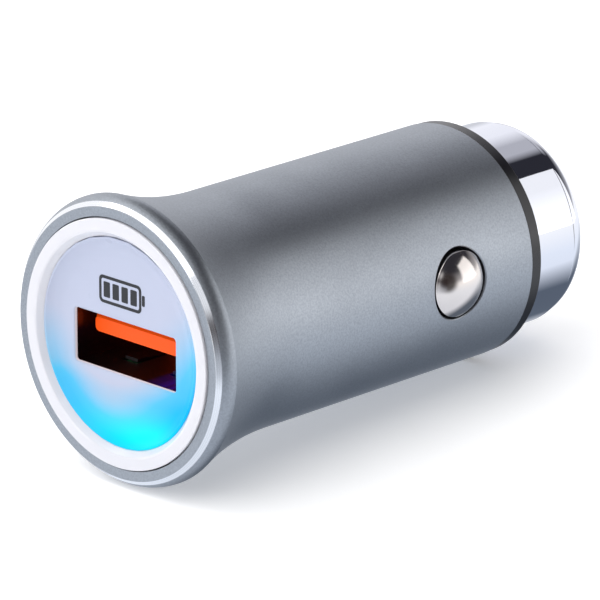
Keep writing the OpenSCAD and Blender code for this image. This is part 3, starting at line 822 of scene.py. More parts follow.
@dataclass
class Housing:
    """The aluminium barrel: flange, flare, straight wall and the two drilled openings."""

    box: NodeBox = field(default_factory=lambda: NodeBox.of("barrel"))
    barrel_r: float = 10.6
    bore_r: float = 9.4
    seat_r: float = 11.0
    seat_y: float = 3.0
    face_r: float = 11.85
    face_y: float = 0.2
    cut_size: float = 0.4
    shoulder_len: float = 1.1
    land_y: float = 1.85
    flare_y: float = 12.9
    flare_lead: float = 4.0
    edge: float = 0.1
    cut_edge: float = 0.02
    seat_edge: float = 0.04
    opening_r: float = 3.2
    opening_edge: float = 0.09
    patch_half: float = 4.7
    patch_rows: int = 25
    patch_rings: int = 13
    crowding: float = 1.6

    def __post_init__(self) -> None:
        """Takes the outer sizes and the place of the openings from the frame."""
        contact = NodeBox.of("side_contact_right").middle
        self.flange_r = float(self.box.high[0])
        self.end_y = float(self.box.high[1])
        self.contact_y = float(contact[1])
        self.contact_z = float(contact[2])
        rise = self.flange_r - self.barrel_r
        run = self.flare_y - self.land_y
        self.flare_radius = (run * run + rise * rise) / (2 * rise)

    def flare(self) -> np.ndarray:
        """The flare: an arc that meets the barrel without a corner and ends at the land."""
        sweep = math.degrees(math.asin((self.flare_y - self.land_y) / self.flare_radius))
        middle = self.barrel_r + self.flare_radius, self.flare_y
        return arc(middle, self.flare_radius, 180, 180 + sweep, 40)

    def front(self) -> Surface:
        """Flange, seat and bore in front of the drilled stretch.

        At share t of its length the shoulder's radius is the flange's less the rise times (1 - t) squared.

        Returns:
            The surface, with the bright cut edge as zone 1.
        """
        start = self.contact_y - self.patch_half
        lead_y = self.flare_y + self.flare_lead
        outer = profile((self.barrel_r, start), (self.barrel_r, lead_y), self.flare())
        cut_r, cut_y = self.face_r + self.cut_size, self.face_y + self.cut_size
        share = np.linspace(1, 0, 12)
        shoulder = np.stack(
            [
                self.flange_r - (self.flange_r - cut_r) * (1 - share) ** 2,
                cut_y + self.shoulder_len * share,
            ],
            axis=1,
        )
        land = profile((self.flange_r, self.land_y), shoulder)
        tiny = self.cut_edge
        cut = profile((cut_r, cut_y), (self.face_r + tiny, self.face_y + tiny), margin=0.05)
        soft = self.seat_edge
        ring = profile(
            cut[-1], (self.face_r - MARGIN, self.face_y), (self.seat_r + soft, self.face_y),
            arc((self.seat_r + soft, self.face_y + soft), soft, -90, -180, 5), (self.seat_r, self.seat_y),
            (self.bore_r, self.seat_y), (self.bore_r, start),
        )
        return lathe(outer) + lathe(land) + lathe(cut, zone=1) + lathe(ring)

    def rear(self) -> Surface:
        """Barrel and bore behind the drilled stretch, with the rounded rear edge."""
        start = self.contact_y + self.patch_half
        outline = profile(
            (self.bore_r, start), (self.bore_r, self.end_y),
            arc((self.barrel_r - self.edge, self.end_y - self.edge), self.edge, 90, 0, 7),
            (self.barrel_r, start),
        )
        return lathe(outline)

    def wall(self, radius: float, hole_r: float) -> tuple[Surface, np.ndarray]:
        """A stretch of round wall with one hole drilled through both sides.

        The wall is a grid of angle and y. Round the hole a block of the grid is left out, and rings fill
        the room: ring k of n has the points circle + (k / n) ** crowding * (edge - circle), where edge is
        a point of the block's border and circle the point of the hole in the same direction. Both are
        taken in the YZ plane, and x follows from x squared plus z squared equals the radius squared.

        Args:
            radius: The wall's radius in mm.
            hole_r: The hole's radius in mm.

        Returns:
            The wall, and the rim of the right hole as (n, 3) points.
        """
        step = 2 * np.pi / COLUMNS
        low = math.floor(math.asin((self.contact_z - self.patch_half) / self.barrel_r) / step)
        high = math.ceil(math.asin((self.contact_z + self.patch_half) / self.barrel_r) / step)
        columns = np.arange(low, high + 1)
        rows = np.linspace(-self.patch_half, self.patch_half, self.patch_rows) + self.contact_y
        rest = np.arange(high, COLUMNS // 2 - high + 1)
        under = np.arange(COLUMNS // 2 - low, COLUMNS + low + 1)
        wall = self.plain_wall(radius, rest * step, rows) + self.plain_wall(radius, under * step, rows)
        z = radius * np.sin(columns * step)
        border = np.concatenate([
            np.stack([rows, np.full(len(rows), z[0])], axis=1)[:-1],
            np.stack([np.full(len(z), rows[-1]), z], axis=1)[:-1],
            np.stack([rows, np.full(len(rows), z[-1])], axis=1)[:0:-1],
            np.stack([np.full(len(z), rows[0]), z], axis=1)[:0:-1],
        ])
        middle = np.array([self.contact_y, self.contact_z])
        away = border - middle
        circle = middle + hole_r * away / np.hypot(*away.T)[:, None]
        share = (np.linspace(0, 1, self.patch_rings) ** self.crowding)[:, None, None]
        flat = circle + share * (border - circle)
        points = np.stack([np.sqrt(radius ** 2 - flat[..., 1] ** 2), flat[..., 0], flat[..., 1]], axis=-1)
        patch = Surface.grid(points)
        return wall + patch + patch.mirrored(), points[0]

    def plain_wall(self, radius: float, angles: np.ndarray, rows: np.ndarray) -> Surface:
        """A piece of round wall on a grid of angles and places along the axis."""
        angle, along = np.meshgrid(angles, rows)
        points = np.stack([radius * np.cos(angle), along, radius * np.sin(angle)], axis=-1)
        return Surface.grid(points, wrap=False)

    def build(self) -> None:
        """Makes the barrel as one closed mesh with two finishes."""
        outer, rim = self.wall(self.barrel_r, self.opening_r + self.opening_edge)
        inner, foot = self.wall(self.bore_r, self.opening_r)
        lip = foot.copy()
        lip[:, 0] = np.sqrt(self.barrel_r ** 2 - lip[:, 2] ** 2) - self.opening_edge
        tube = Surface.grid(np.stack([rim, lip, foot]))
        surface = self.front() + self.rear() + outer + inner + tube + tube.mirrored()
        show("plug_barrel", surface, [BARREL_METAL, CUT_METAL], "housing", ("barrel",))


@dataclass(frozen=True)
class Glow:
    """Where the lamps behind the panel make it shine. Places and sizes are mm on the panel's face.

    way points from the middle to the lamps, and turn holds the cosines where the light begins and is
    full. full_r is where it is full on the way out, and fade the length in which it fades inwards. haze
    and heart are the middles of a pale and of a hot spot, and low_band the depths below the middle where
    the low band begins and is full.
    """

    way: tuple[float, float] = (0.182, -0.983)
    turn: tuple[float, float] = (-0.46, 0.76)
    least_r: float = 0.5
    full_r: float = 8.54
    fade: float = 3.09
    haze: tuple[float, float] = (-3.8, -5.8)
    haze_size: tuple[float, float] = (6.6, 4.18)
    haze_share: float = 0.50
    low_share: float = 0.21
    low_band: tuple[float, float] = (3.0, 5.0)
    heart: tuple[float, float] = (1.56, -7.5)
    heart_size: tuple[float, float] = (5.0, 1.8)

    @staticmethod
    def bell(
        x: np.ndarray, z: np.ndarray, middle: tuple[float, float], size: tuple[float, float]
    ) -> np.ndarray:
        """A bell curve: e to the power of less the sum of both squared distances over their sizes."""
        return np.exp(-((x - middle[0]) / size[0]) ** 2 - ((z - middle[1]) / size[1]) ** 2)

    def values(self, x: np.ndarray, z: np.ndarray) -> tuple[np.ndarray, np.ndarray]:
        """Works out the two values of the lit panel.

        glow is a rise round the panel times a rise outwards, less a bell curve of pale haze, plus a low
        band. The first rise follows the cosine between the place and the way to the lamps, and the second
        is e to the power of the distance past the full radius over the fading length, at most 1. heart is
        a bell curve of its own. A place nearer to the middle than least_r counts as that far away.

        Args:
            x: Places to the right, in mm.
            z: Heights, in mm.

        Returns:
            The arrays glow and heart, from 0 to 1.
        """
        reach = np.maximum(np.hypot(x, z), self.least_r)
        facing = (x * self.way[0] + z * self.way[1]) / reach
        outward = np.exp(np.minimum(reach - self.full_r, 0) / self.fade)
        glow = smooth(facing, *self.turn) * outward
        glow = glow - self.haze_share * self.bell(x, z, self.haze, self.haze_size)
        glow = glow + self.low_share * smooth(-z, *self.low_band)
        return np.clip(glow, 0, 1), self.bell(x, z, self.heart, self.heart_size)


@dataclass(frozen=True)
class BatterySign:
    """A plain battery sign, printed over the slot: a rounded frame, its pole and four bars."""

    middle: tuple[float, float] = (-0.45, 4.15)
    size: tuple[float, float] = (5.1, 2.45)
    corner: float = 0.45
    line: float = 0.27
    inner_corner: float = 0.25
    pole: tuple[float, float] = (0.34, 0.95)
    pole_corner: float = 0.12
    pole_gap: float = 0.25
    bars: int = 4
    bar_gap: float = 0.42
    bar_corner: float = 0.1
    ink: float = 0.02
    sunk: float = 0.01

    def plate(self, outer: np.ndarray, front: float, back: float) -> Surface:
        """A closed thin plate of an outline, with a fan of faces on its front and back."""
        heart = outer.mean(axis=0, keepdims=True) + 0 * outer
        rings = set_at(heart, front), set_at(outer, front), set_at(outer, back), set_at(heart, back)
        return Surface.grid(np.stack(rings))

    def surface(self, face_y: float) -> Surface:
        """Works out the sign as thin plates of ink.

        The bars share the room inside the frame: the gap between two is bar_gap times a bar's width.

        Args:
            face_y: Depth of the face that it is printed on.

        Returns:
            The sign in its place.
        """
        wide, high = self.size
        level = [face_y - self.ink, face_y + self.sunk]
        outer = rounded_outline(wide, high, self.corner, side=6)
        inner = rounded_outline(wide - 2 * self.line, high - 2 * self.line, self.inner_corner, side=6)
        loop = [(outer, 0), (outer, 1), (inner, 1), (inner, 0), (outer, 0)]
        sign = Surface.grid(np.stack([set_at(points, level[k]) for points, k in loop]))
        pole = self.plate(rounded_outline(*self.pole, self.pole_corner, side=4), *level)
        sign = sign + pole.moved((wide / 2 + self.pole_gap, 0, 0))
        room = wide - 4 * self.line
        bar = room / (self.bars + (self.bars - 1) * self.bar_gap)
        shape = rounded_outline(bar, high - 4 * self.line, self.bar_corner, side=4)
        for k in range(self.bars):
            place = -room / 2 + bar / 2 + k * bar * (1 + self.bar_gap)
            sign = sign + self.plate(shape, *level).moved((place, 0, 0))
        return sign.moved((self.middle[0], 0, self.middle[1]))


@dataclass
class Face:
    """The white ring, the lit panel with its slot, and the printed battery sign."""

    ring: NodeBox = field(default_factory=lambda: NodeBox.of("bezel_ring"))
    panel: NodeBox = field(default_factory=lambda: NodeBox.of("face_panel"))
    ring_in_r: float = 9.26
    ring_edge: float = 0.10
    inner_edge: float = 0.05
    inner_lift: float = 0.10
    bevel_out_r: float = 9.9
    bevel_ease: tuple[float, float] = (0.18, 0.06)
    ledge_r: float = 8.85
    ledge_y: float = 2.32
    rim_y: float = 0.5
    flat_y: float = 1.15
    flat_r: float = 7.2
    cove_r: float = 9.05
    cove_rows: int = 22
    flat_rows: int = 26
    panel_edge: float = 0.04
    slot_w: float = 12.2
    slot_h: float = 4.75
    slot_z: float = -0.67
    slot_corner: float = 0.3
    slot_edge: float = 0.18
    # Reach and depths, in mm, of the painted pale highlight on the slot's cut wall
    highlight_reach: float = 0.1
    highlight_depths: tuple[float, float] = (0.04, 0.15)
    pocket_w: float = 13.3
    pocket_h: float = 5.92
    pocket_y: float = 1.45
    pocket_corner: float = 0.02
    glow: Glow = field(default_factory=Glow)
    sign: BatterySign = field(default_factory=BatterySign)

    def ring_surface(self) -> Surface:
        """The ring: a flat front, a fine inner edge and a bevel that falls to the panel."""
        out_r = float(self.ring.high[0])
        front, back = float(self.ring.low[1]), float(self.ring.high[1])
        inner_y = self.rim_y + self.inner_lift
        ease_r, ease_y = self.bevel_ease
        outline = profile(
            (self.ledge_r, self.ledge_y), (self.ring_in_r, self.ledge_y), (self.ring_in_r, inner_y),
            arc((self.ring_in_r + self.inner_edge, inner_y), self.inner_edge, 180, 220, 5),
            (self.bevel_out_r - ease_r, front + ease_y), (self.bevel_out_r, front),
            arc((out_r - self.ring_edge, front + self.ring_edge), self.ring_edge, -90, 0, 8),
            (out_r, back), (self.ledge_r, back), (self.ledge_r, self.ledge_y),
        )
        return lathe(outline)

    def panel_surface(self) -> Surface:
        """The panel: outlines from the slot's edge out to the rim, round the back and in again.

        Near the slot an outline is a rounded rectangle. It turns to a circle at the edge of the flat
        middle. In the cove the depth is that of an arc that is tangent to the flat middle.
        """
        slot = rounded_outline(self.slot_w, self.slot_h, self.slot_corner, z=self.slot_z)
        soft = rounded_outline(
            self.slot_w + 2 * self.slot_edge, self.slot_h + 2 * self.slot_edge,
            self.slot_corner + self.slot_edge, z=self.slot_z,
        )
        pocket = rounded_outline(
            self.pocket_w, self.pocket_h, self.pocket_corner, y=self.pocket_y, z=self.slot_z
        )
        rise = self.flat_y - self.rim_y
        run = self.cove_r - self.flat_r
        bend = (rise * rise + run * run) / (2 * rise)
        cove = np.linspace(self.flat_r, self.cove_r, self.cove_rows)
        depth = self.flat_y - bend + np.sqrt(bend ** 2 - (cove - self.flat_r) ** 2)
        rim_r = float(self.panel.high[0])
        back = float(self.panel.high[1])
        turn = np.radians(np.linspace(0, 90, 5))[:-1]
        rings = [
            set_at(
                slot + (soft - slot) * (1 - math.cos(angle)),
                self.flat_y + self.slot_edge * (1 - math.sin(angle)),
            )
            for angle in turn
        ]
        flat = onto_circle(soft, self.flat_r, self.flat_y)
        rings += between(set_at(soft, self.flat_y), flat, self.flat_rows)
        rings += [onto_circle(soft, radius, y) for radius, y in zip(cove, depth)]
        rings += [
            onto_circle(soft, rim_r - self.panel_edge, self.rim_y),
            onto_circle(soft, rim_r, self.rim_y + self.panel_edge),
        ]
        rings += [onto_circle(soft, rim_r, back), set_at(pocket, back), pocket]
        rings += [set_at(slot, self.pocket_y), rings[0]]
        return Surface.grid(np.stack(rings))

    def slot_wall_highlight(self, x: np.ndarray, y: np.ndarray, z: np.ndarray) -> np.ndarray:
        """Painted pale highlight of the slot's cut wall: a rise with depth times a fall with distance from
        the slot.

        Args:
            x: Places to the right, in mm.
            y: Depths, in mm.
            z: Heights, in mm.

        Returns:
            An array from 0, on the face, to 1, on the wall.
        """
        aside = np.maximum(np.abs(x) - self.slot_w / 2, 0)
        above = np.maximum(np.abs(z - self.slot_z) - self.slot_h / 2, 0)
        away = smooth(np.hypot(aside, above), self.highlight_reach, self.slot_edge)
        return smooth(y - self.flat_y, *self.highlight_depths) * (1 - away)

    def build(self) -> None:
        """Makes the ring, the panel with its values, and the sign."""
        show("white_ring", self.ring_surface(), [RING_WHITE], "housing", ("bezel_ring",))
        panel = show("lit_panel", self.panel_surface(), [PANEL], "housing", ("face_panel",))
        places = np.empty(len(panel.data.vertices) * 3, np.float32)
        panel.data.vertices.foreach_get("co", places)
        x, y, z = (places.reshape(-1, 3) / MM).T
        # The attribute wall holds where the painted pale highlight goes
        values_of = (*self.glow.values(x, z), self.slot_wall_highlight(x, y, z))
        for name, values in zip(("glow", "heart", "wall"), values_of):
            attribute = panel.data.attributes.new(name, "FLOAT", "POINT")
            attribute.data.foreach_set("value", values.astype(np.float32))
        show("battery_sign", self.sign.surface(self.flat_y), [INK], "housing")


@dataclass
class Port:
    """The steel shell and blades, which stay CAD nodes, and the orange tongue.

    lead holds the outlines of the tongue's lead-in: how far each is drawn in at both sides, how far at
    the top, and how far it lies behind the front.
    """

    tongue: NodeBox = field(default_factory=lambda: NodeBox.of("usb_tongue"))
    width: float = 11.1
    low_z: float = -0.64
    high_z: float = 1.20
    corner: float = 0.42
    lead: tuple[tuple[float, float, float], ...] = (
        (0.17, 0.58, 0.0), (0.12, 0.55, 0.04), (0.02, 0.05, 0.45), (0.0, 0.0, 0.60),
    )
    root_y: float = 12.4
    root_corner: float = 0.06

    def tongue_surface(self) -> Surface:
        """The tongue: a front drawn in at the top by a lead-in slope, then the blade and the root block."""
        front = float(self.tongue.low[1])
        back = float(self.tongue.high[1])

        def ring(side: float, top: float, y: float) -> np.ndarray:
            """One outline, drawn in by side on both sides and by top on its upper edge."""
            high = self.high_z - self.low_z - top
            return rounded_outline(
                self.width - 2 * side, high, self.corner, y=y, z=self.low_z + high / 2
            )

        rings = [ring(side, top, front + behind) for side, top, behind in self.lead]
        rings += [ring(0, 0, self.root_y)]
        box_w, _, box_h = (float(size) for size in self.tongue.high - self.tongue.low)
        box_z = float(self.tongue.middle[2])
        rings += [
            rounded_outline(box_w, box_h, self.root_corner, y=y, z=box_z) for y in (self.root_y, back)
        ]
        ends = [outline.mean(axis=0, keepdims=True) + 0 * outline for outline in (rings[0], rings[-1])]
        return Surface.grid(np.stack([ends[0], *rings, ends[1]]))

    def build(self) -> None:
        """Makes the tongue and dresses the shell and the blades."""
        show(
            "orange_tongue", self.tongue_surface(), [TONGUE_NYLON], "housing",
            ("usb_tongue",),
        )
        dress_node("usb_shell", SHELL_STEEL)
        dress_node("usb_contacts", GOLD)


def coil(
    length: float, radius: float, wire: float, turns: float, around: int = 14, along: int = 40,
    closed: float = 0.9, closed_rate: float = 0.22,
) -> Surface:
    """A compression spring about the Y axis, from 0 to length, with closed end turns.

    At share s of the wire the angle is 2 pi turns s and the height is the wire radius plus the free
    height times the smoothed share e, where e rises slowly over the first and last turn, so that those
    turns lie flat. Round the wire the points are the wire radius times (cosine, sine) of even angles.

    Args:
        length: Height over both ends in mm.
        radius: Radius of the coil's middle line.
        wire: Radius of the wire.
        turns: Number of turns, the closed ones included.
        around: Points round the wire.
        along: Points on each turn.
        closed: Turns at each end that lie nearly flat.
        closed_rate: How fast those turns rise, as a share of the rest.

    Returns:
        The spring as a closed surface.
    """
    share = np.linspace(0, 1, int(turns * along) + 1)
    bend = 2 * np.pi * turns * share
    borders = 0.5 * closed / turns, 1.5 * closed / turns
    free = smooth(share, *borders) * smooth(1 - share, *borders)
    rate = closed_rate + (1 - closed_rate) * free
    rise = np.concatenate([[0], np.cumsum((rate[1:] + rate[:-1]) / 2)])
    height = wire + (length - 2 * wire) * rise / rise[-1]
    outward = np.stack([np.cos(bend), 0 * bend, np.sin(bend)], axis=1)
    upward = np.array([0.0, 1.0, 0.0])
    line = outward * radius + height[:, None] * upward
    spin = np.arange(around) * 2 * np.pi / around
    ring = np.cos(spin)[None, :, None] * outward[:, None] + np.sin(spin)[None, :, None] * upward
    wall = line[:, None] + wire * ring
    ends = [line[:1, None] + 0 * wall[:1], wall, line[-1:, None] + 0 * wall[-1:]]
    return Surface.grid(np.concatenate(ends))


def turned_to(surface: Surface, side: Side, y: float, z: float) -> Surface:
    """Lays a surface about the Y axis along the X axis instead, pointing to one side.

    A place (a, h, b) becomes (h, y + a, z + b) on the right, and its mirror image on the left.

    Args:
        surface: The surface about the Y axis.
        side: The side that its top points to.
        y: Place of its axis along Y.
        z: Height of its axis.

    Returns:
        The surface in its place.
    """
    a, h, b = surface.points.T
    laid = Surface(np.stack([h, y + a, z + b], axis=1), surface.faces[:, ::-1], surface.zones)
    return laid if side is Side.RIGHT else laid.mirrored()


@dataclass
class SideContact:
    """One domed contact with its collar, and the spring that stands inside it.

    The x sizes are distances from the barrel's axis. The dome ends dome_stop degrees above its edge. The
    shoulder begins at shoulder_from degrees, and its middle lies shoulder_drop below the dome's foot.
    """

    side: Side
    stem_r: float = 2.95
    collar_r: float = 3.5
    collar_x: float = 6.85
    collar_t: float = 0.8
    hollow_r: float = 2.3
    hollow_x: float = 9.4
    dome_h: float = 1.5
    dome_stop: float = 2.5
    shoulder_r: float = 0.12
    shoulder_drop: float = 0.02
    shoulder_from: float = 38
    edge: float = 0.05
    seat_x: float = 1.5
    coil_r: float = 1.9
    wire_r: float = 0.2
    turns: float = 6.5
    travel: float = 1.35

    @property
    def word(self) -> str:
        """The side's name, as it is used in the frame."""
        return self.side.name.lower()

    def contact_surface(self, top: float) -> Surface:
        """The contact: a spherical dome, a soft shoulder, the stem, the collar and the hollow.

        Args:
            top: Distance of the dome's top from the barrel's axis.

        Returns:
            The contact about the Y axis.
        """
        ball = (self.stem_r ** 2 + self.dome_h ** 2) / (2 * self.dome_h)
        reach = math.degrees(math.acos(self.stem_r / ball))
        dome = arc((0, top - ball), ball, 90, reach + self.dome_stop, 30)
        soft = self.shoulder_r
        middle = self.stem_r - soft, top - self.dome_h - self.shoulder_drop
        shoulder = arc(middle, soft, self.shoulder_from, 0, 6)
        foot = self.collar_x - self.collar_t
        outline = profile(
            dome, shoulder, (self.stem_r, self.collar_x), (self.collar_r - self.edge, self.collar_x),
            (self.collar_r, self.collar_x - self.edge), (self.collar_r, foot), (self.hollow_r, foot),
            (self.hollow_r, self.hollow_x), (0, self.hollow_x),
        )
        return lathe(outline, columns=SMALL_COLUMNS)

    def build(self) -> None:
        """Makes the contact and its spring."""
        node = "side_contact_" + self.word
        place = NodeBox.of(node)
        top = float(np.abs([place.low[0], place.high[0]]).max())
        y, z = float(place.middle[1]), float(place.middle[2])
        contact = turned_to(self.contact_surface(top), self.side, y, z)
        show("contact_" + self.word, contact, [NICKEL], self.word + "_contact", (node,))
        length = self.hollow_x - self.seat_x
        spring = coil(length, self.coil_r, self.wire_r, self.turns).moved((0, self.seat_x, 0))
        spring_node = "side_spring_" + self.word
        piece = show(
            "spring_" + self.word, turned_to(spring, self.side, y, z), [SPRING_WIRE], "housing",
            (spring_node,),
        )
        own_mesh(piece)


@dataclass
class Nose:
    """Everything behind the barrel: black ring, chromed cap, bush, tip contact and its spring.

    groove_y holds the places of the fine step in the cap's wall, in front of the rim's roll. The tip's
    dome ends tip_stop degrees before its edge. Its shoulder ends at tip_to degrees, and its middle lies
    tip_drop in front of the dome's foot.
    """

    ring: NodeBox = field(default_factory=lambda: NodeBox.of("insulator_ring"))
    cap: NodeBox = field(default_factory=lambda: NodeBox.of("end_cap"))
    bush: NodeBox = field(default_factory=lambda: NodeBox.of("nose_insulator"))
    tip: NodeBox = field(default_factory=lambda: NodeBox.of("tip_contact"))
    spring: NodeBox = field(default_factory=lambda: NodeBox.of("tip_spring"))
    ring_y: float = 40.3
    ring_end: float = 41.45
    spigot_r: float = 9.35
    neck_r: float = 8.0
    neck_in: float = 6.5
    ring_edge: float = 0.03
    edge: float = 0.1
    cap_wall: float = 1.2
    rim_r: float = 1.9
    rim_step: float = 0.12
    groove: float = 0.03
    groove_y: tuple[float, float, float, float] = (0.24, 0.20, 0.10, 0.05)
    hole_r: float = 4.2
    hole_edge: float = 0.15
    bush_edge: float = 0.12
    tip_r: float = 2.9
    tip_dome: float = 1.5
    collar_r: float = 3.7
    collar_y: float = 45.7
    collar_end: float = 46.85
    tail_r: float = 1.4
    tip_edge: float = 0.15
    tip_stop: float = 3
    tip_drop: float = 0.03
    tip_to: float = 36
    coil_r: float = 2.0
    wire_r: float = 0.25
    turns: float = 7.5
    travel: float = 3.0

    def ring_surface(self) -> Surface:
        """The insulating ring with its spigot in the bore and the neck that carries the cap."""
        out = float(self.ring.high[0])
        front, back = float(self.ring.low[1]), float(self.ring.high[1])
        soft = self.edge
        outline = profile(
            (self.neck_in, front), (self.spigot_r, front), (self.spigot_r, self.ring_y),
            (out - self.ring_edge, self.ring_y), (out, self.ring_y + self.ring_edge),
            arc((out - soft, self.ring_end - soft), soft, 0, 90, 7),
            (self.neck_r, self.ring_end), (self.neck_r, back), (self.neck_in, back), (self.neck_in, front),
        )
        return lathe(outline)

    def cap_surface(self) -> Surface:
        """The cap: a straight wall, a fine step, and a rim that rolls over to the flat rear face."""
        out = float(self.cap.high[0])
        front, back = float(self.cap.low[1]), float(self.cap.high[1])
        soft, edge = self.edge, self.hole_edge
        rolled = out - self.rim_step
        inside = self.neck_r + CLEARANCE
        widths = out, out - self.groove, rolled - self.groove, rolled
        step = [(width, back - self.rim_r - y) for width, y in zip(widths, self.groove_y)]
        outline = profile(
            (inside, front), arc((out - soft, front + soft), soft, -90, 0, 7), *step,
            arc((rolled - self.rim_r, back - self.rim_r), self.rim_r, 0, 90, 26),
            arc((self.hole_r + edge, back - edge), edge, 90, 180, 6),
            (self.hole_r, back - self.cap_wall), (inside, back - self.cap_wall), (inside, front),
        )
        return lathe(outline)

    def bush_surface(self) -> Surface:
        """The bush round the tip contact."""
        front, back = float(self.bush.low[1]), float(self.bush.high[1])
        inner = self.tip_r + CLEARANCE
        wide = float(self.bush.high[0])
        step = float(self.cap.high[1]) - self.cap_wall - CLEARANCE
        neck = self.hole_r - CLEARANCE
        soft = self.bush_edge
        outline = profile(
            (inner, front), (wide, front), (wide, step), (neck, step),
            arc((neck - soft, back - soft), soft, 0, 90, 6),
            arc((inner + soft, back - soft), soft, 90, 180, 6),
            (inner, front),
        )
        return lathe(outline)

    def tip_surface(self) -> Surface:
        """The tip contact: tail, collar, stem and a spherical dome."""
        front, back = float(self.tip.low[1]), float(self.tip.high[1])
        ball = (self.tip_r ** 2 + self.tip_dome ** 2) / (2 * self.tip_dome)
        reach = math.degrees(math.acos(self.tip_r / ball))
        soft = self.tip_edge
        outline = profile(
            (0, front), (self.tail_r - soft, front), (self.tail_r, front + soft),
            (self.tail_r, self.collar_y),
            (self.collar_r, self.collar_y), (self.collar_r, self.collar_end), (self.tip_r, self.collar_end),
            arc((self.tip_r - soft, back - self.tip_dome - self.tip_drop), soft, 0, self.tip_to, 6),
            arc((0, back - ball), ball, reach + self.tip_stop, 90, 30),
        )
        return lathe(outline, columns=SMALL_COLUMNS)

    def build(self) -> None:
        """Makes the ring, cap, bush, tip and its spring, and dresses the cup."""
        show(
            "black_ring", self.ring_surface(), [BLACK_NYLON], "housing",
            ("insulator_ring",),
        )
        show("chrome_cap", self.cap_surface(), [CHROME], "housing", ("end_cap",))
        show("tip_bush", self.bush_surface(), [ACETAL], "housing", ("nose_insulator",))
        show("tip_stud", self.tip_surface(), [NICKEL], "tip", ("tip_contact",))
        start = float(self.spring.low[1])
        length = self.collar_y - start
        spring = coil(length, self.coil_r, self.wire_r, self.turns).moved((0, start, 0))
        piece = show("spring_tip", spring, [SPRING_WIRE], "housing", ("tip_spring",))
        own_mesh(piece)
        dress_node("spring_cup", BRASS)


@dataclass
class Inside:
    """What the barrel hides: the carrier, the boards and their parts, which stay CAD nodes."""

    finishes: dict[str, Finish] = field(default_factory=lambda: {
        "carrier_upper": CARRIER_ABS,
        "carrier_lower": CARRIER_ABS,
        "main_board": BOARD,
        "led_board": WHITE_BOARD,
        "status_leds": LAMP,
        "converter_chip": CHIP_EPOXY,
        "charge_chip": CHIP_EPOXY,
        "power_inductor": FERRITE,
        "input_capacitor": CAN,
        "output_capacitor": CAN,
        "schottky_diode": CHIP_EPOXY,
        "board_fuse": FUSE,
        "chip_resistors": CHIP_EPOXY,
        "ground_strap": BRASS,
        "positive_lead": BRASS,
    })

    def build(self) -> None:
        """Dresses each node."""
        for node, finish in self.finishes.items():
            dress_node(node, finish)


# The studio


@dataclass(frozen=True)
class Softbox:
    """A soft rectangular light. Places and sizes are metres, and level is its brightness.

    mirrored is False for a light that brightens the room but doesn't show in polished metal.
    """

    name: str
    place: tuple[float, float, float]
    aim: tuple[float, float, float]
    width: float
    height: float
    level: float
    mirrored: bool = True

    def build(self) -> None:
        """Makes the light. A face of area a and brightness b gives b times pi times a watts."""
        data = bpy.data.lights.new(self.name, "AREA")
        data.shape = "RECTANGLE"
        data.size = self.width
        data.size_y = self.height
        data.energy = self.level * math.pi * self.width * self.height
        light = bpy.data.objects.new(self.name, data)
        back = np.array(self.place) - np.array(self.aim)
        back = back / np.linalg.norm(back)
        right = np.cross(NEARLY_UP, back)
        right = right / np.linalg.norm(right)
        up = np.cross(back, right)
        matrix = np.eye(4)
        matrix[:3, 0], matrix[:3, 1], matrix[:3, 2], matrix[:3, 3] = right, up, back, self.place
        light.matrix_world = Matrix(matrix.tolist())
        light.visible_glossy = self.mirrored
        bpy.context.scene.collection.objects.link(light)


@dataclass(frozen=True)
class RoomPatch:
    """A darker or paler part of the room round one direction.

    It fades in from the angle whose cosine is edge to the one whose cosine is core.
    """

    way: tuple[float, float, float]
    edge: float
    core: float
    share: float
    colour: str


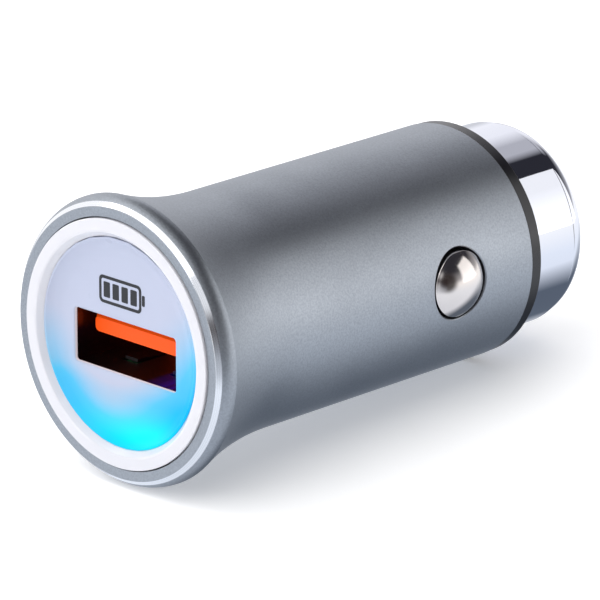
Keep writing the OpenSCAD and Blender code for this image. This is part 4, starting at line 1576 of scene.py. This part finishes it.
@dataclass
class Studio:
    """Camera, floor, lights and surroundings.

    The camera's place is in metres and its turn in degrees. The floor's sizes are mm, and front_touch
    and rear_touch are the places (y, z) where the plug rests on it. heights gives the room's colours by
    height, from 0 straight down to 1 straight up. A later patch of the room covers an earlier one.
    """

    camera_place: tuple[float, float, float] = (0.32450, -0.30600, 0.15338)
    camera_turn: tuple[float, float, float] = (71.472, 0.0, 44.685)
    lens: float = 337.77
    sensor: float = 36.0
    nearest: float = 0.01
    front_touch: tuple[float, float] = (1.85, -12.7)
    rear_touch: tuple[float, float] = (41.35, -10.55)
    floor_reach: float = 1500.0
    floor_ease: float = 40.0
    floor_rows: int = 60
    floor_gap: float = 0.02
    lights: tuple[Softbox, ...] = (
        Softbox("key_right", (0.594, 0.555, 0.36), (0.0, 0.02, 0.36), 0.75, 0.74, 1.18),
        Softbox("wall_left", (-0.69, 0.27, 0.30), (0.0, 0.02, 0.30), 1.2, 0.60, 0.75, mirrored=False),
        Softbox("overhead_front", (-0.21, -0.43, 0.72), (0.0, 0.01, 0.0), 1.35, 0.55, 1.5),
        Softbox("fill_front", (-0.14, -0.78, 0.33), (0.0, 0.01, 0.0), 0.70, 0.56, 2.1),
        Softbox("top_soft", (0.0, 0.02, 0.95), (0.0, 0.02, 0.0), 1.4, 1.4, 1.2, mirrored=False),
    )
    patches: tuple[RoomPatch, ...] = (
        RoomPatch((-0.277, 0.674, 0.685), 0.945, 0.979, 0.9, "#BCBCC2"),
        RoomPatch((-0.955, 0.0, 0.295), 0.72, 0.88, 1.0, "#F6F6F8"),
        RoomPatch((-0.652, 0.674, 0.347), 0.872, 0.967, 1.0, "#F0F0F4"),
        RoomPatch((-0.695, 0.674, -0.25), 0.89, 0.965, 0.92, "#C0C2C8"),
        RoomPatch((0.89, -0.45, 0.08), 0.85, 0.95, 0.94, "#292221"),
        RoomPatch((-0.064, 0.674, -0.736), 0.79, 0.96, 0.96, "#4C5664"),
        RoomPatch((0.47, -0.74, 0.48), 0.955, 0.988, 0.9, "#E4E6EA"),
        RoomPatch((0.69, -0.70, -0.17), 0.95, 0.99, 0.7, "#A8AEB8"),
        RoomPatch((0.80, -0.59, 0.06), 0.962, 0.99, 0.88, "#241A1A"),
    )
    heights: tuple[tuple[float, str], ...] = (
        (0.0, "#D6DCE6"), (0.34, "#E9EFF8"), (0.5, "#FFFFFF"), (0.56, "#A6A6AA"), (0.75, "#2B2B32"),
    )
    room_level: float = 1.3

    def camera(self) -> None:
        """Puts the camera where the photograph was taken from."""
        data = bpy.data.cameras.new("photo_camera")
        data.lens = self.lens
        data.sensor_width = self.sensor
        data.clip_start = self.nearest
        camera = bpy.data.objects.new("photo_camera", data)
        camera.location = self.camera_place
        camera.rotation_euler = [math.radians(angle) for angle in self.camera_turn]
        bpy.context.scene.collection.objects.link(camera)
        bpy.context.scene.camera = camera

    def floor(self) -> None:
        """Lays pale paper under the plug, so that it rests on its flange and on the black ring.

        The height follows a straight ramp through both touching points. Before and behind the plug the
        ramp eases to level: past a touching point by d the slope falls as 1 less d over the easing length,
        so the height gains slope times (d less d squared over twice that length).
        """
        (y0, z0), (y1, z1) = self.front_touch, self.rear_touch
        slope = (z1 - z0) / (y1 - y0)
        ease, reach = self.floor_ease, self.floor_reach
        y = np.concatenate([[-reach], np.linspace(y0 - ease, y1 + ease, self.floor_rows), [reach]])
        before, behind = np.clip(y0 - y, 0, ease), np.clip(y - y1, 0, ease)
        height = z0 + slope * (np.clip(y, y0, y1) - y0)
        gain = behind - behind ** 2 / (2 * ease)
        loss = before - before ** 2 / (2 * ease)
        height += slope * gain - slope * loss
        across, along = np.meshgrid([-reach, 0.0, reach], y)
        level = (height - self.floor_gap)[:, None] + 0 * across
        paper = Surface.grid(np.stack([across, along, level], axis=-1), wrap=False)
        floor = bpy.data.objects.new("floor", paper.mesh("floor"))
        bpy.context.scene.collection.objects.link(floor)
        floor.data.materials.append(PAPER.material())
        floor.visible_glossy = False

    def surroundings(self) -> None:
        """A plain room: pale blue grey below, white at eye level and dark overhead, with its patches."""
        world = bpy.data.worlds.new("studio")
        world.use_nodes = True
        bpy.context.scene.world = world
        tree = world.node_tree
        way = add_node(tree, "TexCoord").outputs["Generated"]
        parts = add_node(tree, "SeparateXYZ", {"Vector": way})
        level = add_node(tree, "MapRange", {"Value": parts.outputs["Z"], "From Min": -1, "From Max": 1})
        ramp = add_node(tree, "ValToRGB", {"Fac": level.outputs["Result"]})
        while len(ramp.color_ramp.elements) < len(self.heights):
            ramp.color_ramp.elements.new(0.5)
        for element, (height, code) in zip(ramp.color_ramp.elements, self.heights):
            element.position = height
            element.color = linear(code)
        colour = ramp.outputs["Color"]
        for patch in self.patches:
            toward = add_node(tree, "VectorMath", {0: way, 1: patch.way}, operation="DOT_PRODUCT")
            shade = add_node(
                tree, "MapRange",
                {
                    "Value": toward.outputs["Value"], "From Min": patch.edge, "From Max": patch.core,
                    "To Min": 0, "To Max": patch.share,
                },
            )
            mix = add_node(
                tree, "Mix",
                {0: shade.outputs["Result"], COLOUR_A: colour, COLOUR_B: linear(patch.colour)},
                data_type="RGBA",
            )
            colour = mix.outputs[COLOUR_OUT]
        background = tree.nodes["Background"]
        tree.links.new(colour, background.inputs["Color"])
        set_inputs(background, {"Strength": self.room_level})

    def build(self) -> None:
        """Makes the whole studio."""
        self.camera()
        self.floor()
        self.surroundings()
        for light in self.lights:
            light.build()
        bpy.context.scene.view_settings.view_transform = "Standard"


def main() -> None:
    """Builds the studio and each sub-assembly in order, and reports each piece."""
    logging.basicConfig(level=logging.INFO, format="%(name)s: %(message)s")
    Studio().build()
    contacts = SideContact(Side.RIGHT), SideContact(Side.LEFT)
    for part in (Housing(), Face(), Port(), *contacts, Nose(), Inside()):
        part.build()
        LOG.info("%s is complete", type(part).__name__)


if __name__ == "__main__":
    main()
